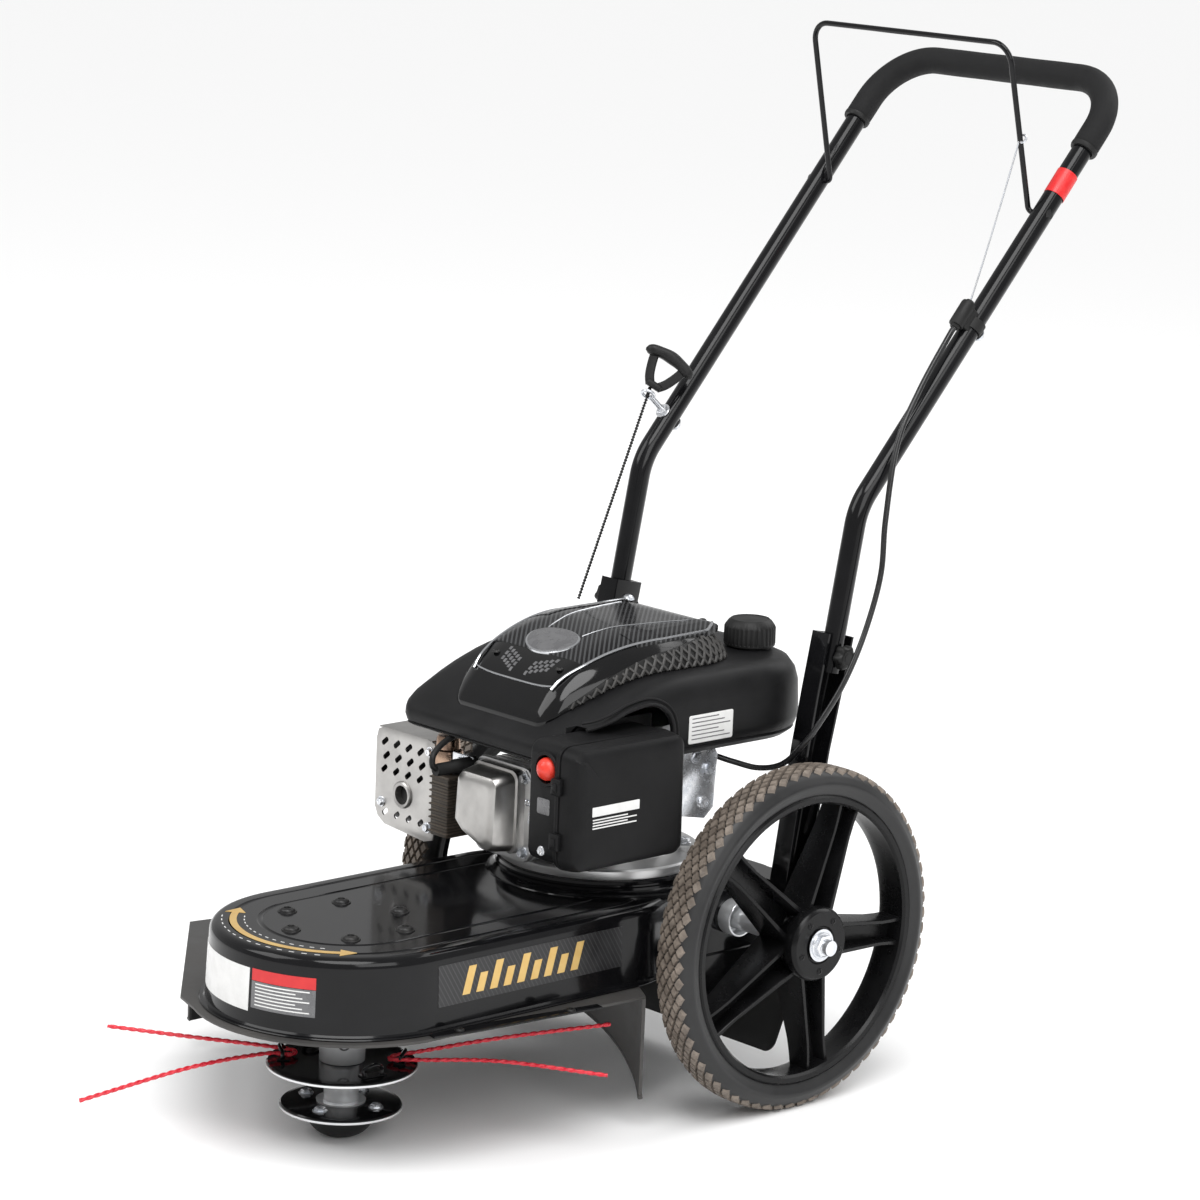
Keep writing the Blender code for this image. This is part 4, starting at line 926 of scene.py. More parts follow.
@dataclass
class Guard:
    """The moulded debris guard under the deck, its skirt, edge strip and rear flap."""

    radius: float = 0.3
    edge: float = 0.168
    top: float = 0.139
    thick: float = 0.003

    def reach(self) -> tuple:
        """The angles at which the guard's arc starts and stops."""
        return acos(self.edge / self.radius), radians(173)

    def skirt(self) -> Surface:
        """Skirt: a closed wall section carried along the arc, its lower edge a sine arch."""
        start, stop = self.reach()
        share = spaced(90)[:, None]
        angle = start + (stop - start) * share
        low = 0.0325 + 0.062 * np.sin(pi * share) ** 0.8
        r = self.radius
        section_r = array([r, r + 0.0004, r + 0.0004, r, r - 0.0028, r - 0.003, r - 0.003])
        mix = array([1, 0.96, 0.04, 0, 0, 0.04, 1])
        z = low + (self.top - low) * mix[None, :]
        points = xyz(section_r * np.cos(angle), section_r * np.sin(angle), z)
        return grid(points)

    def bead(self) -> Surface:
        """The rolled rim along the skirt's lower edge: a small circle carried along it."""
        start, stop = self.reach()
        share = spaced(90)
        angle = start + (stop - start) * share
        low = 0.0335 + 0.062 * np.sin(pi * share) ** 0.8
        path = xyz((self.radius - 0.0012) * np.cos(angle), (self.radius - 0.0012) * np.sin(angle),
            low)
        return sweep(path, circle(0.0026, 10), (0, 0, 1))

    def plan(self) -> ndarray:
        """Plan of the flat plate: straight near edge, arc behind and a bay round the nose."""
        start, stop = self.reach()
        t = linspace(start, stop, 90)
        arc = polar(self.radius, t)
        nose = linspace(-pi / 2 - 0.42, -pi / 2 + 1.45, 24)
        bay = polar(0.1505, nose)
        return vstack([arc, [(-0.098, -0.126)], bay, [(0.1495, 0.01), (0.1565, 0.075)]])

    def build(self) -> None:
        """Make the guard, its strip, tab and the rear flap."""
        plan = self.plan()
        slab = plate(plan, self.top - self.thick, self.top + 0.0002, Axis.Z, 0.0008, 2)
        guard = piece("guard", slab, GUARD_PLASTIC, "debris_guard")
        holes = [revolve([(0, 0.12), (r, 0.12), (r, 0.16), (0, 0.16)], centre=(0, y, 0)) for r,
            y in ((0.034, 0), (0.022, ENGINE_Y))]
        carved(guard, joined(holes))
        piece("guard_skirt", self.skirt() + self.bead(), GUARD_PLASTIC)
        strip = array(mm2(142, -10, 151.5, -12, 160, 40, 171, 155, 174, 185, 164, 187, 150, 90, 143,
            35))
        piece("guard_strip", plate(strip, self.top + 0.0002, self.top + 0.0026, Axis.Z, 0.0006),
            POWDER_COAT)
        rivets = [dome_head((x, y, self.top + 0.0026), (0, 0, 1), 0.0052, 0.0026) for x,
            y in ((0.1505, 0.02), (0.166, 0.15))]
        piece("guard_rivets", rivets, BLACK_RUBBER)
        t = radians(171)
        spot = (self.radius * cos(t) + 0.002, self.radius * sin(t) - 0.004)
        tab = box((spot[0] - 0.001, spot[1] - 0.006, 0.033), (spot[0] + 0.002, spot[1] + 0.012,
            0.083), 0.001)
        piece("guard_tab", tab, BLACK_RUBBER)
        self.flap()

    def flap(self) -> None:
        """The rubber flap between the wheels: a thin plate with moulded ribs."""
        outline = rounded(0.16, 0.0545, 0.012, 6) + (0, 0.0805)
        shrink = interp(outline[:, 1], [0.026, 0.1], [0.78, 1])
        outline = outline * xyz(shrink, np.ones_like(shrink))
        sheet = plate(outline, 0.4722, 0.4748, Axis.Y, 0.0008)
        ribs = [box((x - 0.002, 0.4745, 0.04), (x + 0.002, 0.4762, 0.128), 0.0008, Axis.Y)
            for x in linspace(-0.105, 0.105, 8)]
        piece("flap", [sheet] + ribs, BLACK_RUBBER, "rear_flap")


@dataclass
class Wheel:
    """A spoked plastic wheel with a block tread, its nut and the cup behind it."""

    name: str
    side: float
    radius: float = 0.178
    rim: float = 0.15
    inner: float = 0.1735
    outer: float = 0.2195
    spokes: int = 5
    first_spoke: float = radians(24.0)
    blocks_round: int = 66
    blocks_across: int = 4

    def crown(self, s: ndarray, lift: float) -> tuple:
        """Tyre section at s in -1..1: X across the width and a radius that falls at the edges."""
        middle, half = (self.inner + self.outer) / 2, (self.outer - self.inner) / 2
        x = middle + half * (s - 0.1 * s ** 3) / 0.9 * (0.93 + lift * 1.2)
        r = self.radius - 0.0032 + lift - 0.0105 * np.abs(s) ** 4.5
        return x, r

    def tyre(self) -> Surface:
        """Casing: a closed section of crown and bulged sidewalls turned about the axle."""
        s = linspace(-1, 1, 19)
        x, r = self.crown(s, 0)
        out_r = array([0.1625, 0.159, 0.1575, 0.1545, self.rim + 0.0003])
        out_x = array([0.2192, 0.219, 0.2178, 0.2172, 0.215])
        in_x = self.inner + self.outer - out_x
        shape = np.column_stack([np.concatenate([r, out_r, out_r[::-1]]), np.concatenate([x, out_x,
            in_x[::-1]])])
        return revolve(shape.tolist(), Axis.X, AXLE, 160, loop=True)

    def tread(self) -> Surface:
        """Blocks: cells of a diagonal lattice on the crown, each a small frustum of 8 points."""
        rows, cols = self.blocks_across, self.blocks_round
        i, j = np.meshgrid(arange(2 * rows - 1), arange(cols), indexing="ij")
        s_mid = (0.86 * ((i + 1) / rows - 1)).ravel()
        t_mid = ((j + 0.5 * (i % 2)) * TAU / cols).ravel()
        corner = array([(1, 0), (0, 1), (-1, 0), (0, -1)])
        grow = array([0.8, 0.66])[:, None, None]
        lift = array([-0.0006, 0.0032])[:, None, None]
        half_s, half_t = 0.86 / rows, 0.5 * TAU / cols
        s = np.clip(s_mid[None, :, None] + grow * corner[None, None, :, 0] * half_s, -1, 1)
        t = t_mid[None, :, None] + grow * corner[None, None, :, 1] * half_t
        x0, r0 = self.crown(s, 0)
        r = r0 + lift
        points = xyz(x0, AXLE[1] + r * np.cos(t), AXLE[2] + r * np.sin(t))
        points = points.transpose(1, 0, 2, 3).reshape(-1, 3)
        count = len(s_mid)
        base = (8 * arange(count))[:, None, None]
        cell = array([[3, 2, 1, 0], [4, 5, 6, 7], [0, 1, 5, 4], [1, 2, 6, 5], [2, 3, 7, 6], [3, 0,
            4, 7]])
        faces = (base + cell[None]).reshape(-1, 4).tolist()
        return Surface(points, faces)

    def spoke(self, angle: float) -> Surface:
        """One spoke: a U section, two ribs and a sunk web, tapering from hub to rim."""
        u = spaced(9)
        radius = 0.024 + (self.rim - 0.0085 - 0.024) * u
        half = 0.0185 - 0.0068 * u + 0.0035 * np.clip(u - 0.8, 0, 1) * 5
        front = 0.2205 - 0.0105 * u
        back = 0.179 + 0.007 * u
        section_a = array([-1, -1, -0.96, -0.74, -0.68, -0.62, 0.62, 0.68, 0.74, 0.96, 1, 1])
        section_b = array([0, 0.95, 1, 1, 0.95, 0.42, 0.42, 0.95, 1, 1, 0.95, 0])
        across = half[:, None] * section_a[None, :]
        depth = back[:, None] + (front - back)[:, None] * section_b[None, :]
        reach = radius[:, None] + 0 * across
        y = AXLE[1] + reach * sin(angle) + across * cos(angle)
        z = AXLE[2] + reach * cos(angle) - across * sin(angle)
        return grid(xyz(depth, y, z))

    def rim_surface(self) -> Surface:
        """Rim band and hub: two closed profiles turned about the axle, with the spokes."""
        a, b, rim = self.inner, self.outer, self.rim
        band = [(rim, a + 0.005), (rim, b - 0.0045), (rim - 0.002, b - 0.0028), (rim - 0.007,
            b - 0.0032), (rim - 0.0092, b - 0.006), (rim - 0.0092, b - 0.011), (rim - 0.01, 0.196),
            (rim - 0.0092, a + 0.011), (rim - 0.007, a + 0.0055)]
        hub = mm2(8.3, 168, 21, 168, 21.5, 194, 28, 206, 37.5, 220.5, 38.2, 224, 38.2, 230.5, 36.5,
            233.5, 34.5, 235, 20, 235, 18.5, 233.5, 8.3, 233.5)
        parts = [revolve(band, Axis.X, AXLE, 128, loop=True), revolve(hub, Axis.X, AXLE, 72,
            loop=True)]
        parts += [self.spoke(self.first_spoke + k * TAU / self.spokes) for k in range(self.spokes)]
        return joined(parts)

    def hub_bolts(self) -> Surface:
        """Small moulded studs in a ring on the hub's face."""
        angles = TAU * (arange(5) + 0.5) / 5
        return joined([dome_head((0.235, AXLE[1] + 0.0275 * sin(a), AXLE[2] + 0.0275 * cos(a)), (1,
            0, 0), 0.0036, 0.0011) for a in angles])

    def build(self) -> None:
        """Make the tyre, tread, rim, nut and cup on this side."""
        body = f"{self.name}_wheel"
        piece(f"{self.name}_tyre_casing", self.tyre().sided(self.side), TYRE_RUBBER,
            f"{self.name}_tyre", body=body, sharp=radians(50))
        piece(f"{self.name}_tread", self.tread().sided(self.side), TREAD_RUBBER, body=body)
        piece(f"{self.name}_wheel_centre", (self.rim_surface() + self.hub_bolts()).sided(self.side),
            RIM_PLASTIC, f"{self.name}_rim", body=body)
        nut = revolve(mm2(0, 235.4, 16.5, 235.4, 16.8, 236.2, 0, 236.4), Axis.X, AXLE, 40)
        nut += hex_head((0.236, AXLE[1], AXLE[2]), (1, 0, 0), 0.0118, 0.0072, 1.15)
        nut += revolve(mm2(0, 240, 6.2, 240, 6.6, 247.8, 5.8, 249, 0, 249), Axis.X, AXLE, 24)
        piece(f"{self.name}_nut", nut.sided(self.side), ZINC, f"{self.name}_wheel_nut")
        cup = mm2(8.3, 100.8, 14.5, 100.8, 17, 102.2, 19, 106.2, 19, 120.4, 18.4, 121.4, 17, 121.4,
            16.4, 120.4, 16.4, 107.5, 12.5, 104.2, 8.3, 103.2)
        sleeve = revolve(mm2(0, 104, 11.2, 104, 11.2, 167.5, 0, 167.5), Axis.X, AXLE, 32)
        parts = revolve(cup, Axis.X, AXLE, 64, loop=True) + sleeve
        piece(f"{self.name}_cup", parts.sided(self.side), STEEL_PAINTED_LIGHTER, f"{self.name}_spacer_cup")


@dataclass
class TrimmerHead:
    """The spindle's hub, two discs, spacer, skid ball and the red lines."""

    line_disc: float = 0.0745
    line_radius: float = 0.0743
    lower_disc: float = 0.0325
    lower_radius: float = 0.0603

    def disc(self, z: float, radius: float) -> Surface:
        """A pressed disc: a flat web, a shallow ring groove and a rolled rim."""
        shape = [(0.0103, z - 0.002), (radius * 0.55, z - 0.002), (radius * 0.6, z - 0.0026),
            (radius * 0.9, z - 0.0026), (radius - 0.0035, z - 0.0034), (radius - 0.0008,
            z - 0.0036), (radius, z - 0.0026), (radius, z - 0.0006), (radius - 0.001, z + 0.0006),
            (radius - 0.004, z + 0.0012), (radius * 0.9, z + 0.0016), (radius * 0.6, z + 0.0016),
            (radius * 0.55, z + 0.002), (0.0103, z + 0.002)]
        return revolve(shape, segments=96, loop=True)

    def hooks(self) -> Surface:
        """Wire hooks at the disc's rim that the lines loop round."""
        z = self.line_disc + 0.003
        parts = []
        for angle in (47, 227, -8, 172):
            a = radians(angle)
            out = array([cos(a), sin(a), 0])
            side = array([-sin(a), cos(a), 0])
            base = out * 0.058 + (0, 0, z - 0.001)
            knots = [base + side * 0.01, base + side * 0.01 + (0, 0, 0.007),
                base + out * 0.004 + (0, 0, 0.012), base - side * 0.01 + (0, 0, 0.007),
                base - side * 0.01]
            parts.append(sweep(smooth(knots, 22), circle(0.0019, 10), tuple(out)))
            parts.append(block(-13, -6, 0, 13, 6, 1.6, 0.6) .turned(array([side, out, (0, 0,
                1)]).T) .moved(out * 0.057 + (0, 0, self.line_disc + 0.0016)))
        return joined(parts)

    def lines(self) -> None:
        """The trimmer lines: a three-lobed section twisted along each line's curve."""
        height = self.line_disc + 0.0063
        front = [(-0.174, -0.157, 0.094), (-0.115, -0.107, 0.09), (-0.064, -0.052, height + 0.003),
            (-0.04, -0.03, height), (-0.031, -0.041, height), (-0.043, -0.064, height + 0.002),
            (-0.05, -0.15, 0.083), (-0.053, -0.277, 0.074)]
        rear = [(0.134, 0.234, 0.104), (0.085, 0.13, 0.096), (0.043, 0.064, height + 0.003), (0.031,
            0.041, height), (0.04, 0.03, height), (0.064, 0.052, height + 0.002), (0.12, 0.105,
            0.086), (0.199, 0.172, 0.08)]
        for name, knots in (("front", front), ("rear", rear)):
            line = sweep(smooth(knots, 240), lobed(0.0023, 2, 0.45), (0, 0, 1), 1, 330)
            piece(f"{name}_red_line", line, RED_NYLON, f"{name}_trimmer_line", body="trimmer_head",
                sharp=radians(70))

    def build(self) -> None:
        """Make everything that turns below the deck, and the skid ball."""
        hub = revolve(mm2(10.3, 76.8, 22.5, 76.8, 23, 77.6, 23, 118, 22.2, 119, 22.2, 120.4, 23,
            121.4, 23, 153, 22.4, 153.6, 10.3, 153.6), segments=80, loop=True)
        piece("hub", hub, STEEL_PAINTED_LIGHTER, "spindle_hub", body="trimmer_head")
        holes = [revolve(mm2(0, 21.5, 6.2, 21.5, 6.2, 23.4, 4.8, 23.4, 4.4, 22.6, 0, 22.6), Axis.X,
            (0, 0, 0.0985), 32)]
        turned = []
        for angle in (-35, 145):
            a = radians(angle)
            matrix = array([(cos(a), -sin(a), 0), (sin(a), cos(a), 0), (0, 0, 1)])
            turned.append(holes[0].turned(matrix))
        piece("hub_cross_pin", turned, DARK_STEEL, body="trimmer_head")
        for name, z, radius in (("upper", self.line_disc, self.line_radius), ("lower",
                self.lower_disc, self.lower_radius)):
            node = "line_disc" if name == "upper" else "lower_disc"
            piece(f"{name}_plate", self.disc(z, radius), POWDER_COAT, node, body="trimmer_head")
        edges = []
        for z, radius in ((self.line_disc, self.line_radius), (self.lower_disc, self.lower_radius)):
            edges.append(revolve([(radius - 0.0012, z - 0.004), (radius + 0.0002, z - 0.0038),
                (radius + 0.0005, z - 0.003), (radius + 0.0005, z - 0.0016), (radius - 0.0006,
                z - 0.0014)], segments=96, loop=True))
        piece("disc_edges", edges, STEEL_PAINTED_LIGHTER, body="trimmer_head")
        piece("line_hooks", self.hooks(), POWDER_COAT, body="trimmer_head")
        spacer = revolve(mm2(10.3, 34.8, 17, 34.8, 17.5, 35.6, 17.5, 71.6, 17, 72.2, 10.3, 72.2),
            segments=64, loop=True)
        washers = revolve(mm2(10.3, 34.5, 24.5, 34.5, 24.8, 36.2, 10.3, 36.6), segments=64,
            loop=True)
        washers += revolve(mm2(10.3, 70.6, 23.5, 70.6, 23.8, 72.2, 10.3, 72.4), segments=64,
            loop=True)
        piece("spacer", spacer + washers, STEEL_PAINTED_LIGHTER, "disc_spacer", body="trimmer_head")
        angles = np.radians(20 + 90 * arange(4))
        nuts = [hex_head((0.04 * cos(a), 0.04 * sin(a), self.lower_disc + 0.0016), (0, 0, 1),
            0.0056, 0.0042) for a in angles]
        piece("plate_nuts", nuts, ZINC, body="trimmer_head")
        t = spaced(16)
        r = 0.009 + 0.027 * np.sin(t * pi / 2)
        z = 0.03 * (1 - np.cos(t * pi / 2))
        shape = [(0, 0)] + list(zip(r.tolist(), z.tolist())) + [(0, 0.03)]
        piece("skid", revolve(shape, segments=72), BLACK_RUBBER, "skid_ball", body="skid")
        self.lines()


# Engine
@dataclass
class Engine:
    """The crankcase, finned cylinder, valve cover, muffler and carburettor."""

    fins: int = 9
    fin_low: float = 0.206
    fin_high: float = 0.272
    cover_front: float = 0.162

    def build(self) -> None:
        """Make the engine's castings and what is bolted to them."""
        self.crankcase()
        self.cylinder()
        self.valve_cover()
        self.muffler()
        self.duct()
        self.carburettor()

    def crankcase(self) -> None:
        """Crankcase: a stepped profile about the engine's axis with lugs, and their bolts."""
        shape = mm2(0, 234.5, 104, 234.5, 104.6, 236, 104.6, 243, 103, 245, 84, 249, 80, 253, 78,
            264, 74.5, 299, 70, 312, 68.5, 344, 60, 352, 40, 353.5, 0, 353.5)
        case = revolve(shape, centre=(0, ENGINE_Y, 0), segments=96)
        angles = np.radians(35 + 90 * arange(4))
        lugs = [revolve(mm2(0, 240, 11.5, 240, 10.8, 253.5, 0, 254.5), centre=(0.088 * cos(a),
            ENGINE_Y + 0.088 * sin(a), 0), segments=28) for a in angles]
        piece("engine_case", [case] + lugs, CAST_ALLOY, "crankcase")
        bolts = [hex_head((0.088 * cos(a), ENGINE_Y + 0.088 * sin(a), 0.2543), (0, 0, 1), 0.0056,
            0.0055) for a in angles]
        piece("case_bolts", bolts, ZINC)

    def cylinder(self) -> None:
        """Cylinder: a barrel block carried forward with thin fins standing round it."""
        parts = [block(-34, 205.5, 266, 34, 280, 334, 8, Axis.Y, 3)]
        for y in linspace(self.fin_low + 0.002, self.fin_high, self.fins):
            parts.append(box((-0.0445, y - 0.0013, 0.254), (0.0445, y + 0.0013, 0.3465), 0.0009,
                Axis.Y, 3, 0.01))
        piece("cooling_fins", parts, CAST_ALLOY, "cylinder")

    def cover_outline(self, shrink: float) -> ndarray:
        """Rounded outline of the valve cover with its lower corner cut off at a slope."""
        points = rounded(0.0345 - shrink, 0.0435 - shrink, 0.01, 8) + (-0.0025, 0.304)
        slope = np.clip((0 - points[:, 0]) / 0.036, 0, 1)
        floor = 0.26 + shrink + 0.03 * slope ** 1.2
        points[:, 1] = maximum(points[:, 1], floor)
        return points

    def valve_cover(self) -> None:
        """Cover: rings of one outline that step in twice towards a crowned, creased face."""
        ys = [0.204, 0.2, 0.1905, 0.1895, 0.182, 0.17, 0.165, 0.1625, 0.1615, 0.1612]
        cuts = [0, 0, 0.0006, 0.003, 0.0036, 0.005, 0.007, 0.0105, 0.015, 0.023]
        rings = []
        for y, cut in zip(ys, cuts):
            plan = self.cover_outline(cut)
            tilt = 0.0022 * np.clip((plan[:, 0] + plan[:, 1] - 0.3) / 0.03, -1, 1)
            depth = y + np.where(y < 0.18, tilt, 0)
            rings.append(xyz(plan[:, 0], depth + 0 * plan[:, 0], plan[:, 1]))
        piece("rocker_cover", grid(stack(rings)[:, ::-1]), SATIN_PLATE, "valve_cover",
            sharp=radians(28))
        flange = block(-43, 200.5, 252, 41, 206.2, 350, 1.2, Axis.Y, 4, 12)
        piece("cover_flange", flange, CAST_ALLOY)
        spots = mm2(-35.5, 339, 31, 339.5, -35.5, 279, 32.5, 263)
        bolts = [hex_head((x, 0.2005, z), (0, -1, 0), 0.0046, 0.0062) for x, z in spots]
        piece("cover_bolts", bolts, ZINC)
        plug = revolve(mm2(0, 150, 5.8, 150, 6.6, 154, 6.6, 172, 7.8, 174, 7.8, 202, 0, 202),
            Axis.Y, (0, 0, 0), 24).moved((-0.048, 0, 0.338))
        lead = smooth(mm3(-48, 156, 338, -48, 147, 342, -50, 149, 354, -56, 170, 364, -60, 200,
            370), 30)
        piece("spark_plug_boot", plug + sweep(lead, circle(0.0032, 12)), BLACK_RUBBER)

    def muffler(self) -> None:
        """Muffler can, its heat shield with slanted slots, outlet ring and bolts."""
        can = block(-192, 208, 250, -122, 248, 334, 8, Axis.Y, 5, 14)
        seam = block(-194.5, 226.5, 247.5, -119.5, 229, 336.5, 1, Axis.Y, 5, 16)
        pipe = smooth(mm3(-126, 238, 290, -90, 244, 288, -50, 250, 290, -30, 252, 292), 24)
        piece("muffler_can", [can, seam, sweep(pipe, circle(0.011, 20), (0, 0, 1))], DARK_STEEL,
            "muffler")
        outline = array(mm2(-200, 262, -195.5, 252, -184, 245, -120, 240, -106.5, 244, -104, 256,
            -104, 338, -108, 346, -118, 348.5, -188, 348, -197, 344, -200, 334))
        face = plate(outline, 0.1995, 0.2012, Axis.Y, 0.0006, 2)
        rim = block(-200.3, 199.8, 260, -198.8, 250, 336, 0.6, Axis.X)
        top = block(-196, 199.8, 346.2, -112, 242, 347.8, 0.6, Axis.Z)
        shield = piece("heat_shield", face, SATIN_PLATE, "muffler_shield")
        slots = []
        for row, (z, count, length) in enumerate(((0.333, 4, 0.012), (0.3185, 4, 0.012), (0.304, 4,
                0.011), (0.2585, 4, 0.01))):
            for k in range(count):
                x = -0.186 + 0.019 * k + 0.003 * (row % 2)
                slot = box((-length / 2, 0.19, -0.0027), (length / 2, 0.21, 0.0027), 0.0022, Axis.Y)
                a = radians(-40)
                turn = array([(cos(a), 0, sin(a)), (0, 1, 0), (-sin(a), 0, cos(a))])
                slots.append(slot.turned(turn).moved((x, 0, z)))
        outlet = revolve(mm2(0, 190, 11.2, 190, 11.2, 212, 0, 212), Axis.Y,
            segments=32).moved((-0.1555, 0, 0.282))
        carved(shield, joined(slots + [outlet]))
        piece("shield_edges", rim + top, SATIN_PLATE)
        ring = revolve(mm2(10, 197.5, 12.8, 196.8, 14.2, 197.8, 14.5, 199.7, 11.5, 204, 10, 208.5),
            Axis.Y, (0, 0, 0), 48, loop=True)
        mesh_disc = revolve(mm2(0, 205.5, 10.5, 205.5, 10.5, 206.5, 0, 206.5), Axis.Y, segments=32)
        piece("outlet_ring", ring.moved((-0.1555, 0, 0.282)), SATIN_PLATE)
        piece("outlet_screen", mesh_disc.moved((-0.1555, 0, 0.282)), DARK_STEEL)
        bolts = [hex_head((x, 0.1995, z), (0, -1, 0), 0.0042, 0.0042) for x, z in mm2(-114, 336,
            -189, 268, -115, 256)]
        piece("shield_bolts", bolts, ZINC)

    def duct(self) -> None:
        """The ribbed tan duct between the muffler and the cylinder, and the tinted cap on it."""
        body = block(-101, 190.5, 254, -74, 235, 318, 2, Axis.Y, 3)
        ribs = [box((-0.1022, 0.189, z), (-0.0728, 0.2, z + 0.0018), 0.0006, Axis.Z)
            for z in linspace(0.2575, 0.314, 9)]
        piece("intake_duct", [body] + ribs, DUCT_BROWN)
        cap = mm2(0, 319, 15, 319, 15.8, 320.5, 15.8, 340, 15, 342, 12.8, 343.5, 12.2, 354, 10.8,
            357, 0, 357.8)
        piece("tinted_cap", revolve(cap, centre=(-0.096, 0.208, 0), segments=48), BRONZE)
        arm = block(-74, 195, 333, -43, 197, 346, 0.8, Axis.Y)
        piece("plug_bracket", arm, ZINC)
        piece("plug_bracket_screw", hex_head((-0.06, 0.195, 0.3395), (0, -1, 0), 0.004, 0.0036),
            ZINC)

    def carburettor(self) -> None:
        """Carburettor body, green bowl, levers, rods, spring and fuel hose."""
        body = block(56, 205, 298, 103, 255, 338, 3, Axis.Z, 3)
        piece("carburettor_body", body, CAST_ALLOY, "carburettor")
        bowl = revolve(mm2(0, 270, 12, 270, 16.5, 273, 18, 279, 18, 296, 19.5, 297.5, 19.5, 300, 0,
            300), centre=(0.08, 0.226, 0), segments=40)
        nut = hex_head((0.08, 0.226, 0.27), (0, 0, -1), 0.0052, 0.0045)
        piece("fuel_bowl", bowl, GREEN_BOWL)
        rod = smooth(mm3(48, 186, 352, 60, 182, 346, 80, 182, 342, 98, 186, 344), 20)
        lever = plate(array(mm2(50, 300, 60, 296, 72, 330, 70, 352, 62, 354, 56, 330)), 0.188,
            0.1896, Axis.Y, 0.0004)
        t = linspace(0, 9 * TAU, 200)
        coil = xyz(0.052 + 0.04 * t / t[-1], 0.184 + 0.003 * np.cos(t), 0.322 + 0.003 * np.sin(t))
        spring = sweep(coil, circle(0.00055, 6), (1, 0, 0))
        piece("governor_linkage", [sweep(rod, circle(0.0012, 8), (0, 0, 1)), lever, nut, spring],
            ZINC)
        bracket = plate(array(mm2(335, 298, 375, 290, 387, 300, 390, 356, 382, 368, 338, 366)),
            0.108, 0.1104, Axis.X, 0.0006)
        fixings = [hex_head((0.1104, y, z), (1, 0, 0), 0.005, 0.005) for y, z in mm2(372, 307, 378,
            342, 360, 356)]
        piece("governor_bracket", [bracket] + fixings, ZINC)
        hose = smooth(mm3(99, 230, 310, 104, 212, 296, 100, 200, 282, 80, 205, 266, 60, 245, 264,
            40, 310, 356, 20, 390, 376), 60)
        piece("fuel_hose", sweep(hose, circle(0.0034, 14), (0.3, 0.2, 0.9)), BLACK_RUBBER)


